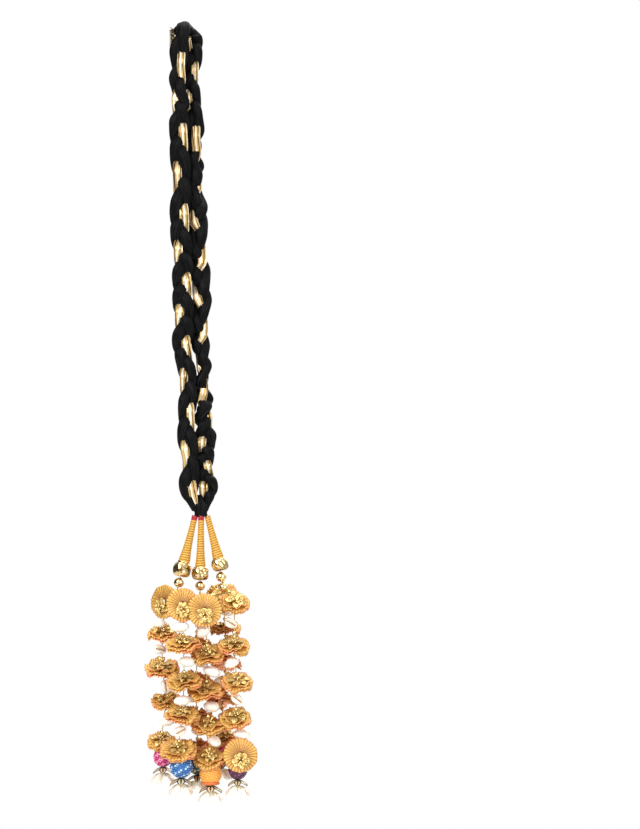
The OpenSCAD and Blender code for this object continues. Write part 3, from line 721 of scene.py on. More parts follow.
def strand(side, phase, width, depth, outline, swing, forward=(0, 0, 0), flat=False):
    """One strand of a leg, side -1 being the front leg and 1 the rear leg.

    Its middle goes across by swing[0] sin t and outwards by swing[1] sin 2t, a figure of eight seen
    from above, while it runs down the leg, and this path turns with the leg's twist. Its section
    is an oval times outline(angle, distance), which keeps its broad side to the front and tips by
    0.5 cos t, or 0.15 cos t if it is flat. Both swings are a little less than the part's own, the
    bundles being fuller, so little light shows between them. The place across follows
    tanh(k sin t) / tanh k, which hangs almost straight at the sides and crosses over quickly. A
    flat strand has the larger k, is ahead in t by 0.35, so that it crosses over behind the
    bundles, and where the leg is turned only 0.3 of its outward swing goes across. forward sets a
    strand to the front, by its three numbers at the fold, 18 mm down and from 36 mm down. The
    swings start at 0.6 of their size at the fold and are full from 24 mm down.
    """
    leg, turns, twist = LEGS[side]
    first, last = turns[0][0], turns[-1][0]
    turn = np.linspace(first, last, int((last - first) / TURN_STEP))
    run = table_at(turns, 1, turn)
    t = np.radians(turn - side * phase)
    size = table_at(leg, 3, run)
    twisted = np.radians(np.interp(run, *np.array(twist, float).T))
    sharp, lead = (2.4, 0.35) if flat else (1.5, 0)
    sway = np.tanh(sharp * np.sin(t + lead)) / math.tanh(sharp)
    calm = np.interp(run, (0, 24), (0.6, 1))
    across = size * calm * swing[0] * sway
    proud = -side * size * calm * swing[1] * np.sin(2 * t)
    bent = np.minimum(np.pi / 2, run / FOLD_R)
    straight = np.maximum(0, run - FOLD_R * np.pi / 2)
    away = np.where(run < FOLD_R * np.pi / 2, FOLD_R * np.sin(bent), table_at(leg, 2, run))
    middle = np.stack([table_at(leg, 1, run), side * away, FOLD_Z + FOLD_R * np.cos(bent) - straight], -1)
    outwards = np.stack([0 * bent, side * np.sin(bent), np.cos(bent)], -1)
    angle = -side * (0.15 if flat else 0.5) * np.cos(t)
    x = across * np.cos(twisted) + (0.3 if flat else 1) * side * proud * np.sin(twisted)
    y = -side * across * np.sin(twisted) + proud * np.cos(twisted)
    y = y - side * np.interp(run, (0, 18, 36), forward)
    count = outline.count
    a = side * np.arange(count) * TAU / count
    wide, deep = outline(a[None, :], run[:, None])
    u = size[:, None] * width / 2 * np.cos(a) * wide
    v = size[:, None] * depth / 2 * np.sin(a) * deep
    c, s = np.cos(angle)[:, None], np.sin(angle)[:, None]
    points = middle[:, None] + ((x[:, None] + u * c - v * s)[..., None] * np.array([1.0, 0, 0]))
    points = points + (y[:, None] + u * s + v * c)[..., None] * outwards[:, None]
    # The map is in millimetres, the strand being thinner on average than at its full size
    return closed_tube(points, (0.8 * (width + depth) * np.pi / 2, run[-1]))


def yarn_outline(yarns, seed):
    """A round section of yarns with grooves between them, which turn slowly along the strand."""
    rng = np.random.default_rng(seed)
    shift, sway = rng.uniform(0, TAU, 2)

    def outline(a, run):
        lay = 0.035 * run + 0.5 * np.sin(run / 23 + sway)
        ridge = np.abs(np.sin(yarns / 2 * (a + lay / yarns * 2) + shift))
        form = 0.955 + 0.07 * ridge**0.6
        return form, form

    outline.count = 5 * yarns
    return outline


def fold_outline(seed):
    """A ribbon folded lengthwise, narrow at the fold of the plait.

    Its section is a rounded box, as deep at angle a as the root of sin a, with sharp creases that
    wander slowly along it.
    """
    rng = np.random.default_rng(seed)
    shift = rng.uniform(0, TAU, 3)

    def outline(a, run):
        wander = 0.2 * np.sin(run / 37 + shift[0])
        crease = 1 - np.abs(np.sin(3.5 * a + wander + shift[2]))
        fine = 1 - np.abs(np.sin(8 * a - wander + shift[1]))
        full = np.interp(run, (0, 8, 18, 28), (0.35, 0.45, 0.6, 1))
        box = 1 / np.sqrt(np.maximum(0.04, np.abs(np.sin(a))))
        return full, full * box * (0.62 + 0.5 * crease + 0.12 * fine)

    outline.count = 56
    return outline


def stray_fibres(seed, count):
    """Frayed fibres at the left of the fold: arcs of 3 to 7 mm that leave the leg and bend down.

    Two of three are black.
    """
    rng = np.random.default_rng(seed)
    shapes = []
    for number in range(count):
        base = np.array([-11.2, rng.uniform(-10, -4), rng.uniform(-15, 3)])
        t = np.linspace(0, 1, 7)[:, None]
        reach = rng.uniform(2.6, 5.2)
        out = np.array([-1, rng.uniform(-0.7, 0.3), rng.uniform(-0.2, 0.7)])
        path = base + out * reach * t - np.array([0, 0, 1]) * rng.uniform(0.5, 2.5) * t**2
        shapes.append(skinned(tube(path, 0.17, 4), 1 if number % 3 else 0))
    return shapes


class PARANDA_OT_plait(bpy.types.Operator):
    """Makes the thread bundles and folded ribbons of both legs"""

    bl_idname = "paranda.plait"
    bl_label = "Plait"
    settings = "paranda_plait"

    def execute(self, context):
        s = context.scene.paranda_plait
        silk, metallised = black_silk(), metallised_ribbon()
        for side, word in ((LEFT, "left"), (RIGHT, "right")):
            for phase, letter in ((120, "a"), (240, "b")):
                outline = yarn_outline(s.yarns, phase + side)
                shape = strand(side, phase, s.thread_w / MM, s.thread_d / MM, outline, BUNDLE_SWING)
                name = f"{word}_thread_{letter}"
                piece(f"{word}_silk_bundle_{letter}", shape, [silk], [name])
            width, depth, creased = s.ribbon_w / MM, s.ribbon_d / MM, fold_outline(FOLD_SEED + side)
            forward = RIBBON_FORWARD[side]
            shape = strand(side, 0, width, depth, creased, RIBBON_SWING, forward, flat=True)
            if side == LEFT:
                shape = join([shape] + stray_fibres(FIBRE_SEED, FIBRES))
            skins = [metallised, silk]
            piece(f"{word}_folded_ribbon", shape, skins, [f"{word}_ribbon"])
        return {"FINISHED"}


# The neck and the cones

# Rows of share of the neck's height, place across, half width, half depth. It starts above the
# neck's own top, where the gathered thread rises between the legs
TIE = [
    (-0.6, 12.6, 2, 1.6), (-0.4, 12.8, 4.2, 2.6), (-0.15, 13.6, 6.4, 3.6), (0.08, 14.2, 9.4, 4.8),
    (0.25, 14.3, 9, 5.4), (0.5, 14.6, 7.4, 5.4), (0.72, 14.8, 6.3, 5.2), (1, 15.2, 7, 4.6),
]
# Rows of share of a cone's length and share of the way from its tip radius to its foot radius
CONE_SIDE = [(0, 0), (0.28, 0.12), (0.5, 0.3), (0.74, 0.55), (0.94, 0.95), (1, 1)]
# Radius of a cone's tip, the gap between neck and cone, the height of a red whipping
CONE_TIP_R, CONE_GAP, RED_TIP_H = 2.9, 0.2, 3.4
CONE_FOOT_R = {"left": 5.9, "centre": 5.3, "right": 5.75}
# Radius of the red whipping and pitch of its turns
RED_TIP_R, RED_PITCH = 3.05, 1.1
# How far the cones' tips reach up into the neck
TUCK = 1.2
# For each cone: place across at its top and foot, fall of its foot, place in depth, red whipping
CONES = {
    "left": (8.8, -1.8, 44.5, -1, RED_TIP_H),
    "centre": (15.2, 14.4, 51, -2, RED_TIP_H),
    "right": (21.6, 32.4, 41.5, 0, 0),
}
# Radius of a large bead's bore, and the gap round the cone's foot in it
CAP_BORE_R, SEAT_GAP = 1.6, 0.25
# For each cone: distance of its large bead down its line, and the bead's diameter and height
CAP_BEADS = {"left": (54.2, 18.8, 14), "centre": (56.4, 17.6, 13.6), "right": (49, 17.2, 13)}
TIE_FOOT_Z = node_box("tie")[0][2]


def along_cone(shape, cone, start):
    """Puts a surface that hangs down from 0 in line with a cone, its 0 at start down the line."""
    top, foot, fall, depth, _ = CONES[cone]
    tilt = turned(("Y", math.degrees(math.atan((top - foot) / fall))))
    place = np.array([top, depth, TIE_FOOT_Z - CONE_GAP]) + tilt @ np.array([0, 0, -start])
    return moved(shape, tilt, place)


def wound(radius_at, top, foot, pitch, relief):
    """Thread wound round a core: radius_at(distance down) plus rounded turns on a helix.

    The relief is |sin(pi p)|^0.7, p counting turns, so each turn is round and each groove sharp.
    Each turn has eight rings of forty points.
    """
    z = np.linspace(top, foot, int((foot - top) / pitch * 8))[:, None]
    a = np.arange(40) * TAU / 40
    phase = z / pitch + a / TAU
    r = radius_at(z) + relief * (np.abs(np.sin(np.pi * phase)) ** 0.7 - 0.7)
    points = np.stack([r * np.cos(a), r * np.sin(a), -z + 0 * a], -1)
    shape = closed_tube(points[::-1])
    # The map's second number counts the turns, so the grooves in the colour meet those in the shape
    corner = shape["points"][shape["loops"]]
    around = np.arctan2(corner[:, 1], corner[:, 0]) / TAU % 1
    shape["map"] = np.stack([around * TAU * 4, -corner[:, 2] / pitch + around], -1)
    return shape


class PARANDA_OT_neck(bpy.types.Operator):
    """Makes the wound neck, the cones and their red whippings"""

    bl_idname = "paranda.neck"
    bl_label = "Neck and cones"
    settings = "paranda_neck"

    def execute(self, context):
        s = context.scene.paranda_neck
        silk = bpy.data.materials.get("Black viscose thread") or black_silk()
        # The second colour of each winding is a painted glint and the third is painted shade in its grooves.
        yellow = wound_silk("Wound yellow silk", s.yellow, srgb("eeb848"), srgb("8a5a14"))
        red = wound_silk("Wound red silk", s.red, s.red, srgb("6a0c12"))
        low, high = node_box("tie")
        tall = high[2] - low[2]
        share = np.linspace(-0.6, 1, 90)[:, None]
        a = np.arange(96) * TAU / 96
        # Gathers stand up the upper half of the neck, and thread is wound round the lower half
        gather = np.sin(12 * a + 2 * np.sin(3 * a)) * 0.35 * np.clip(1 - share * 1.7, 0, 1)
        lower = np.clip(share * 3 - 1.2, 0, 1)
        winding = (np.abs(np.sin(np.pi * (share * 9 + a / TAU))) - 0.6) * 0.45 * lower
        wide = table_at(TIE, 2, share) + gather + winding
        deep = table_at(TIE, 3, share) + gather + winding
        across = table_at(TIE, 1, share)
        z = high[2] - share * tall + 0 * a
        points = np.stack([across + wide * np.cos(a), deep * np.sin(a), z], -1)
        piece("wound_neck", closed_tube(points[::-1], (40, tall)), [silk], ["tie"])
        for cone, (top, foot, fall, depth, tip) in CONES.items():
            long = math.hypot(foot - top, fall)

            def radius_at(z):
                grown = table_at(CONE_SIDE, 1, (z - tip) / (long - tip))
                return CONE_TIP_R + grown * (CONE_FOOT_R[cone] - CONE_TIP_R)

            shape = wound(radius_at, tip or -TUCK, long, s.wind_pitch / MM, s.wind_relief / MM)
            shape = along_cone(shape, cone, 0)
            piece(f"{cone}_wound_cone", shape, [yellow], [f"cone_{cone}"])
            if tip:
                shape = wound(lambda z: RED_TIP_R + 0 * z, -TUCK, tip, RED_PITCH, s.wind_relief / MM)
                shape = along_cone(shape, cone, 0)
                piece(f"{cone}_red_whipping", shape, [red], [f"red_tip_{cone}"])
        return {"FINISHED"}


# The gold beads


class PARANDA_OT_beads(bpy.types.Operator):
    """Makes the large ribbed beads and the round mirror beads"""

    bl_idname = "paranda.beads"
    bl_label = "Gold beads"
    settings = "paranda_beads"

    def execute(self, context):
        s = context.scene.paranda_beads
        engraved = plated_gold("Engraved plated bead", 0.2, srgb("dec08a"), srgb("5a3e18"), 9)
        mirror = plated_gold("Mirror plated bead", 0.07, s.gold, srgb("c89a50"), 3.3)
        for cone, (start, d, h) in CAP_BEADS.items():
            r, half = d / 2, h / 2
            arc = np.linspace(-1, 1, 30)
            # The side bulges as (1 - |h|^2.6)^0.55, h running from -1 to 1 over the height
            side = 0.56 * r + 0.44 * r * (1 - np.abs(arc) ** 2.6) ** 0.55
            outer = np.stack([side, arc * half], -1)
            top, foot, cone_fall, cone_depth, _ = CONES[cone]
            seat_r = CONE_FOOT_R[cone] + SEAT_GAP
            seat_z = start - math.hypot(foot - top, cone_fall)
            bore = [(CAP_BORE_R, seat_z), (CAP_BORE_R, -half)]
            inner = np.array([(seat_r, half), (seat_r, seat_z)] + bore)

            def ripple(a, z, radius):
                skin = np.clip(radius / r * 3 - 1.9, 0, 1)
                lobes = np.abs(np.sin(s.flutes / 2 * (a + 0.5 * z / half)))
                cross = np.abs(np.sin(s.flutes / 2 * (a - 1.2 * z / half)))
                return -skin * s.flute_depth / MM / r * ((1 - lobes) + 0.4 * (1 - cross))

            shape = lathe(np.vstack([outer, inner]), 108, ripple=ripple)
            shape = along_cone(shape, cone, start)
            piece(f"{cone}_engraved_bead", shape, [engraved], [f"cap_bead_{cone}"])
            shapes = []
            for fall, across, d, tilt, owner in ROUND_BEADS:
                if owner == cone:
                    place = at_fall(fall, across, cone_depth)
                    shapes.append(moved(ball(d, ROUND_BORE_D, 40, 24), turned(("Y", tilt)), place))
            piece(f"{cone}_mirror_beads", join(shapes), [mirror], [f"round_beads_{cone}"])
        return {"FINISHED"}


# The strings and what is on them. A fall is a distance below the neck's foot

# Rows of fall, place across, diameter, tilt of the bore and cone
ROUND_BEADS = [
    (66, -7, 10.2, 14, "left"), (76, -10.4, 8, 24, "left"),
    (69.2, 14.2, 9.6, 0, "centre"),
    (60.2, 35.2, 10.2, -14, "right"), (70.8, 37.4, 10.4, -8, "right"),
]
# Bore of a round bead, width of a cowrie, diameter of a knot, bore of a small bead
ROUND_BORE_D, COWRIE_W, KNOT_D, SMALL_BORE_D = 3.2, 10.4, 2.6, 1.8
# Round beads that each string runs through, the side of the bore that it keeps to, and its turn
# down to its first flower: fall, place across, place in depth
STRING_BEADS = [(0, 1), (0,), (2,), (2,), (3, 4), (3, 4)]
STRING_SIDE = [0.65, -0.65, 0.65, -0.65, 0.65, -0.65]
STRING_TURNS = [
    (82, -17, 3), (81, -3.6, -9), (84, 11.2, 13), (85, 18, -11), (77.4, 36.4, 6), (78.6, 48.4, -10.6),
]
# Rows of fall, place across, depth, lean to the front, turn, radius, set forward
FLOWERS = [
    [
        (85.5, -20, 4, 84, -43, 17.5, 5), (115.5, -24, 4, 20, 0, 15, 0), (150.5, -24, 4, 22, 8, 18, 0),
        (183, -20, 4, 18, -8, 16, 0), (223.5, -25, 4, 28, -12, 14.5, 0),
    ],
    [
        (88.5, -3, -12.5, 80, 6, 17, 7), (124.5, -2, -20, 16, 0, 19, 0),
        (161.5, -1, -20, 20, -6, 18.5, 0), (195, -3, -20, 18, 6, 18.5, 0), (230, -7, -20, 30, 0, 19, 0),
    ],
    [
        (90, 11, 14, 30, 0, 14, 0), (128, 10, 20, 20, 180, 16, 0), (164.5, 10, 20, 22, 190, 16, 0),
        (199.5, 10, 20, 20, 175, 16, 0), (231, 11, 20, 24, 180, 14.5, 0),
    ],
    [
        (93.5, 19, -17, 80, 4, 17.5, 6.5), (135.5, 22, -12, 27, 6, 17.5, 0),
        (171.5, 20.5, -12, 20, -4, 19, 0), (206.5, 23, -12, 18, 4, 18.5, 0), (239, 24, -12, 30, 0, 17.5, 0),
    ],
    [
        (79, 36, 11, 48, 0, 16.5, 0), (110.5, 39, 16, 12, 0, 16, 0), (146.5, 40, 18, 20, 175, 16, 0),
        (184, 36, 18, 16, 185, 16, 0), (220, 36, 18, 20, 0, 16, 0),
    ],
    [
        (84.5, 49, -10, 34, 14, 15.5, 0), (127, 48, -10, 24, 10, 16.5, 0),
        (163.5, 51, -10, 28, 10, 16.5, 0), (199.5, 50, -10, 32, 8, 16.5, 0),
        (238.5, 54, -10, 80, 6, 17.5, 9.5),
    ],
]
# Rows of fall, place beside the string, tilt in view, turn and length
COWRIES = [
    [(107.6, -3, 20, 200, 12), (133, -2, 10, 30, 14), (170, 1.5, 80, 0, 14), (204.5, 4, 15, 180, 16)],
    [(109.5, -3.5, 5, 180, 19), (143.6, 3, -10, 180, 16), (182.6, -1.4, 5, 180, 16), (213, 0, -30, 15, 14)],
    [(109, 3, 10, 90, 16), (146.5, 3, -15, 160, 16), (182, -3, 20, 200, 16), (215.5, 2, 0, 180, 16)],
    [(114.2, -2.6, 46, 180, 16), (154, 4.5, -20, 180, 18), (189, 4, -12, 180, 16), (223, 4.5, -35, 180, 16)],
    [(95, 3, 0, 170, 15), (128.5, -2, 20, 200, 16), (165.5, -3, 10, 180, 16), (202, 3, -10, 170, 16)],
    [(106, -3.5, 30, 20, 14), (145.5, -4, 25, 180, 16), (182, 1, 40, 10, 14), (217, 4, -8, 180, 17)],
]
# Rows of fall, place across, depth and diameter of the woven bead at a string's end
DROP_BEADS = [
    (240.8, -23, 4, 19.5), (248.3, -4, -20, 22.5), (249.5, 11, 18, 20),
    (256.5, 25, -12, 22), (238, 35.5, 18, 19), (252.5, 52, -10, 19),
]
# Small gold beads sit at these distances below each flower's middle
BEAD_STEPS = (-11.6, -7.4, 5.6, 9.8)
# Thickness and bore radius of a leaf cap's disc, number of its leaves, gap above it
LEAF_T, DISC_BORE_R, LEAVES, CAP_GAP = 1.2, 1.3, 6, 0.2
# The drop that has a wound collar over its leaves
COLLARED = 3
# A knot is this much below the foot of a woven bead and the thickness of its leaf cap's disc
KNOT_DROP = 2.4
# The cowries below each knot: turns about it, lean outwards, distance from it, length, and how
# far the end of string goes into a shell
CLUSTER, CLUSTER_TILT, CLUSTER_REACH, CLUSTER_L, END_L = (205, 325, 85), 41, 3.3, 15, 2.8
# Radius of a rosette's hub, and diameter of the seed beads on it
HUB_R, SEED_BEAD_D = 2.4, 2.6
# A flower that leans further than this faces the viewer
FACING = 60
# Reach of the petals on each string and on a flower that faces the viewer, as a share of its radius
PETAL_REACH, FACING_REACH = (0.78, 0.55, 0.62, 0.55, 0.78, 0.8), 0.52
STRINGS = range(6)
# Seeds of what is drawn at random: folds of the ribbons, fibres, flowers, weaves
FOLD_SEED, FIBRE_SEED, FLOWER_SEED, WEAVE_SEED = 5, 11, 40, 70


def at_fall(fall, across, depth):
    """A point of the frame from its fall below the neck."""
    return np.array([across, depth, TIE_FOOT_Z - fall])


def string_way(s):
    """Points of string s as rows of fall, place across and depth, down to its woven bead."""
    rows = []
    for b in STRING_BEADS[s]:
        fall, across, d, tilt, cone = ROUND_BEADS[b]
        for way in (-1, 1):
            reach = way * (d / 2 + 0.6)
            a = math.radians(tilt)
            depth = CONES[cone][3] + STRING_SIDE[s]
            rows.append((fall + reach * math.cos(a), across - reach * math.sin(a), depth))
    rows.append(STRING_TURNS[s])
    rows += [flower[:3] for flower in FLOWERS[s]]
    fall, across, depth, d = DROP_BEADS[s]
    return np.array(rows + [(fall - d / 2 - 0.4, across, depth)], float)


def on_string(s, fall):
    """The point of string s at a fall."""
    way = string_way(s)
    return at_fall(fall, np.interp(fall, way[:, 0], way[:, 1]), np.interp(fall, way[:, 0], way[:, 2]))


def knot_fall(s):
    """The fall of the knot that the cluster of string s hangs from."""
    fall, _, _, d = DROP_BEADS[s]
    return fall + d / 2 + LEAF_T + KNOT_DROP


def has_room(s, fall, d):
    """Whether a bead of diameter d has room on its string beside the cowries and the woven bead."""
    r = d / 2 + 0.2
    for at, _, tilt, _, long in COWRIES[s]:
        a = math.radians(abs(tilt))
        half = min(COWRIE_W / 2 / math.cos(a), long / 2 / max(0.1, math.sin(a)))
        if abs(fall - at) < half + r:
            return False
    return fall < DROP_BEADS[s][0] - DROP_BEADS[s][3] / 2 - r


def in_cluster(shape, s, angle):
    """A surface that hangs down from 0, in line with one cowrie under the knot of string s."""
    _, across, depth, _ = DROP_BEADS[s]
    return moved(shape, turned(("Z", angle), ("Y", -CLUSTER_TILT)), at_fall(knot_fall(s), across, depth))


class PARANDA_OT_strings(bpy.types.Operator):
    """Makes the strings with their knots and small gold beads"""

    bl_idname = "paranda.strings"
    bl_label = "Strings"
    settings = "paranda_strings"

    def execute(self, context):
        sizes = context.scene.paranda_strings
        string_d, small_d = sizes.string_d / MM, sizes.small_d / MM
        cotton, small = cotton_string(), small_gold()
        # Each cowrie of a cluster hangs from an end of string that enters its tip
        end = tube([(0, 0, 0), (0, 0, -CLUSTER_REACH), (0, 0, -CLUSTER_REACH - END_L)], 0.45, 6)
        for s in STRINGS:
            way = string_way(s)
            path = np.stack([way[:, 1], way[:, 2], TIE_FOOT_Z - way[:, 0]], -1)
            foot = at_fall(knot_fall(s), *DROP_BEADS[s][1:3])
            # Bends are rounded by a point a little before and after each corner
            dense = np.linspace(0, len(path) - 1, 8 * len(path))
            path = np.stack([np.interp(dense, np.arange(len(path)), path[:, k]) for k in range(3)], -1)
            knot = placed(ball(KNOT_D, 0.3, 12, 8), foot)
            ends = [in_cluster(end, s, angle) for angle in CLUSTER]
            shape = join([tube(np.vstack([path, foot]), string_d / 2, 8), knot] + ends)
            piece(f"cotton_string_{s + 1}", shape, [cotton], [f"string_{s + 1}"])
            falls = [flower[0] + step for flower in FLOWERS[s] for step in BEAD_STEPS]
            falls = [fall for i, fall in enumerate(falls) if (i > 1) and has_room(s, fall, small_d)]
            bead = ball(small_d, SMALL_BORE_D, 14, 9)
            shapes = [placed(bead, on_string(s, fall)) for fall in falls]
            piece(f"small_gold_beads_{s + 1}", join(shapes), [small], [f"gold_beads_{s + 1}"])
        return {"FINISHED"}


# The flowers


def rosette(r, rng, facing):
    """Layers of pleated ribbon gathered at a hub, each a closed skin round its thin ribbon.

    t runs from the hub to the rim. The height is the pleats' zigzag times h t^0.8, plus waves of two,
    three, five and nine round the disc that grow with t squared. Each pleat has its own height and
    length, and leans to one side as pressed pleats do. A lower layer droops below the main one, and
    a short one stands up on it. A flower that faces the viewer has no short layer, lies flatter and
    has more painted shade in its creases, and the others have painted light on their pleats.
    """
    s = bpy.context.scene.paranda_flowers
    n = s.pleats
    a = np.arange(4 * n) * TAU / (4 * n)
    zigzag = np.tile([0.0, 1.0, 0.0, -1.0], n)
    tall = s.pleat_h / MM / 2 * (0.7 if facing else 1)
    shift = rng.uniform(0, TAU, 4)
    sizes = np.array([0.9, 1.2, 1.2, 0.9])[:, None] * (0.35 if facing else 1)
    wave = (sizes * np.sin(np.array([2, 3, 5, 9])[:, None] * a + shift[:, None])).sum(0)
    # Rows from hub to rim, share of the radius, drop below the disc, sag, share where coral begins
    rows_of_layers = [
        (8, 1.0, 0.0, 0.6, 0.9), (5, 0.96, 1.0, 2.6, 0.55), (6, 0.84, -0.7, -1.8, 0.94),
    ]
    layers = []
    for rows, reach, sink, sag, coral in rows_of_layers[: 2 if facing else 3]:
        t = np.linspace(0, 1, rows)[:, None]
        own_h = np.repeat(rng.uniform(0.7, 1.25, n), 4)
        own_r = np.repeat(rng.uniform(0.96, 1.01, n), 4) * reach
        radius = HUB_R + (r * own_r * (1 + 0.01 * zigzag) - HUB_R) * t
        lean = a + 0.3 * TAU / n * (0.5 + 0.5 * zigzag) * t
        own_wave = np.roll(wave, int(rng.integers(4 * n))) if reach < 0.9 else wave
        z = tall * zigzag * own_h * t**0.8 + (own_wave - sag) * t**2 - sink
        half = s.ribbon_t / MM / 2
        top = np.stack([radius * np.cos(lean), radius * np.sin(lean), z + half], -1)
        under = top[::-1] - np.array([0, 0, 2 * half])
        layer = flipped(ring_solid(np.concatenate([top, under]), (n, 1)))
        faded = np.clip(0.4 + np.sin(2 * a + shift[0]) + 0.5 * np.sin(5 * a + shift[1]), 0, 1)
        edge = np.clip((t - coral) / 0.12, 0, 1) * faded
        layer["depth"] = np.concatenate([edge, 0 * edge + 1]).reshape(-1)
        # Each pleat's shade is random, then lowered by 0.35 on a flower that faces the viewer, as painted
        # shade, and raised by 0.3 on the others, as painted light.
        shade = np.repeat(rng.uniform(0, 1, n), 4) + (-0.35 if facing else 0.3) + 0 * t
        layer["knot"] = np.concatenate([shade, shade]).reshape(-1)
        layers.append(layer)
    return join(layers)


def petal(long, wide, lift, cup, droop):
    """A looped leaf of thin ribbon along X: width wide sin(pi t^1.5)^0.6, height lift sin(t pi/2).

    t runs along it from 0 to 1, and w across it from -1 to 1. Its end bends down by droop t^4, its
    section is cupped by the square of w and folded by a cosine of two waves.
    """
    folds, thick = 0.3, 0.35
    t = np.linspace(0.02, 0.995, 8)[:, None]
    w = np.array([-1, -0.8, -0.54, -0.27, 0, 0.27, 0.54, 0.8, 1, 0.7, 0.25, -0.25, -0.7])
    side = np.array([0, 1, 1, 1, 1, 1, 1, 1, 0, -1, -1, -1, -1])
    half = wide / 2 * np.sin(np.pi * t**1.5) ** 0.6 + 0.25
    ridge = 0.5 + 0.5 * np.cos(4 * np.pi * w)
    z = lift * np.sin(t * np.pi / 2) - droop * t**4 + cup * w**2 * half / wide * 2
    z = z + folds * ridge * np.minimum(1, 3 * t)
    points = np.stack([long * t + 0 * w, half * w, z + side * thick / 2], -1)
    shape = flipped(closed_tube(points))
    # Painted light on each fold's ridge, and painted shade between the ridges, along the edges and
    # underneath.
    light = np.clip(0.1 + 0.9 * ridge, 0, 1) * (side >= 0) * (np.abs(w) < 0.9) + 0.2 * (side < 0)
    shape["depth"] = np.broadcast_to(light, z.shape).reshape(-1)
    return shape


def small_flower(r, rng):
    """Two rounds of cupped petals round three seed beads."""
    s = bpy.context.scene.paranda_flowers
    shapes = []
    for ring, (reach, rise) in enumerate(((1.0, 2.4), (0.7, 4.2))):
        for i in range(s.petals):
            a = (i + 0.5 * ring) * 360 / s.petals + rng.uniform(-14, 14)
            long = (r - 1.6) * reach * rng.uniform(0.75, 1.08)
            wide = (2.2 + 0.34 * r) * reach * rng.uniform(0.75, 1.2)
            lift = rise * rng.uniform(0.1, 1.6)
            one = petal(long, wide, lift, rng.uniform(-0.6, 1.8), rng.uniform(0, 3.5))
            shapes.append(moved(one, turned(("Z", a)), turned(("Z", a)) @ np.array([1.4, 0, 0.5 * ring])))
    seeds = [
        placed(ball(SEED_BEAD_D, 0.5, 10, 7), turned(("Z", a)) @ np.array([2.0, 0, 2.6]))
        for a in np.array([0, 120, 240]) + rng.uniform(0, 120)
    ]
    return join([skinned(shape, 1) for shape in shapes] + [skinned(seed, 2) for seed in seeds])


class PARANDA_OT_flowers(bpy.types.Operator):
    """Makes the pleated rosettes with their petals"""

    bl_idname = "paranda.flowers"
    bl_label = "Flowers"
    settings = "paranda_flowers"

    def execute(self, context):
        ribbon, foil, seed_gold = rosette_ribbon(), petal_foil(), small_gold()
        for s in STRINGS:
            rng = np.random.default_rng(FLOWER_SEED + s)
            shapes = []
            for fall, across, depth, pitch, yaw, r, forward in FLOWERS[s]:
                turn = turned(("Z", yaw), ("X", pitch))
                place = at_fall(fall, across, depth) + turn @ np.array([0, 0, forward - 1])
                own = turned(("Z", rng.uniform(0, 360)))
                facing = pitch > FACING
                shapes.append(moved(rosette(r, rng, facing), turn @ own, place))
                above = place + turn @ np.array([0, -0.3 * r if facing else 0, 1.4])
                reach = (FACING_REACH if facing else PETAL_REACH[s]) * r
                shapes.append(moved(small_flower(reach, rng), turn @ own, above))
            name, skins = f"ribbon_flowers_{s + 1}", [ribbon, foil, seed_gold]
            piece(name, join(shapes), skins, [f"flowers_{s + 1}"])
        return {"FINISHED"}


# The shells


def cowrie(long, width):
    """A cowrie along X, its slit at -Y: an egg r sqrt(1 - x^2) (1 - 0.12 x), flattened below.

    x runs from -1 to 1. The slit is a bell-shaped groove and its teeth are ripples on both lips.
    """
    s = bpy.context.scene.paranda_shells
    half, r = long / 2, min(width, 0.72 * long) / 2
    x = -np.cos(np.linspace(0.05, np.pi - 0.05, 30))[:, None]
    under = np.array([0.85, 0.62, 0.44, 0.31, 0.21, 0.13, 0.06])
    flat = np.concatenate([-under, [0], under[::-1]])
    back = np.linspace(0.15, np.pi - 0.15, 15)
    around = np.concatenate([np.cos(back), flat])
    upper = np.concatenate([np.sin(back), -np.sqrt(1 - flat**2)])
    egg = r * np.sqrt(1 - x**2) * (1 - 0.12 * x)
    z = egg * around
    y = egg * upper
    low = -0.5 * egg
    y = np.where(y < low, low + 0.16 * (y - low), y)
    window = np.clip((0.86 - np.abs(x)) / 0.12, 0, 1)
    below = upper < -0.2
    slit = window * np.exp(-((z / 0.6) ** 2)) * below
    lips = window * np.exp(-(((np.abs(z) - 1.5) / 0.9) ** 2)) * below
    ripple = 0.5 + 0.5 * np.cos(np.pi * s.teeth * x)
    y = y + 1.5 * slit - 0.35 * lips * ripple
    points = np.stack([half * x + 0 * z, y, z], -1)
    shape = closed_tube(points)
    # Painted shade: depth is high in the sunken slit and between the teeth, where the shell is coloured tan.
    shape["depth"] = np.clip(slit + 0.45 * lips * (1 - ripple), 0, 1).reshape(-1)
    return shape


class PARANDA_OT_cowries(bpy.types.Operator):
    """Makes the cowrie shells"""

    bl_idname = "paranda.cowries"
    bl_label = "Cowries"
    settings = "paranda_shells"

    def execute(self, context):
        porcelain = cowrie_shell()
        for s in STRINGS:
            shapes = []
            for fall, beside, tilt, turn, long in COWRIES[s]:
                place = on_string(s, fall) + np.array([beside, 0, 0])
                shapes.append(moved(cowrie(long, COWRIE_W), turned(("Z", turn), ("Y", tilt)), place))
            foot = (0, 0, -CLUSTER_REACH - CLUSTER_L / 2)
            hung = moved(cowrie(CLUSTER_L, COWRIE_W), turned(("Y", -90), ("X", 90)), foot)
            shapes += [in_cluster(hung, s, angle) for angle in CLUSTER]
            piece(f"cowrie_shells_{s + 1}", join(shapes), [porcelain], [f"cowries_{s + 1}"])
        return {"FINISHED"}


# The woven beads and their leaf caps


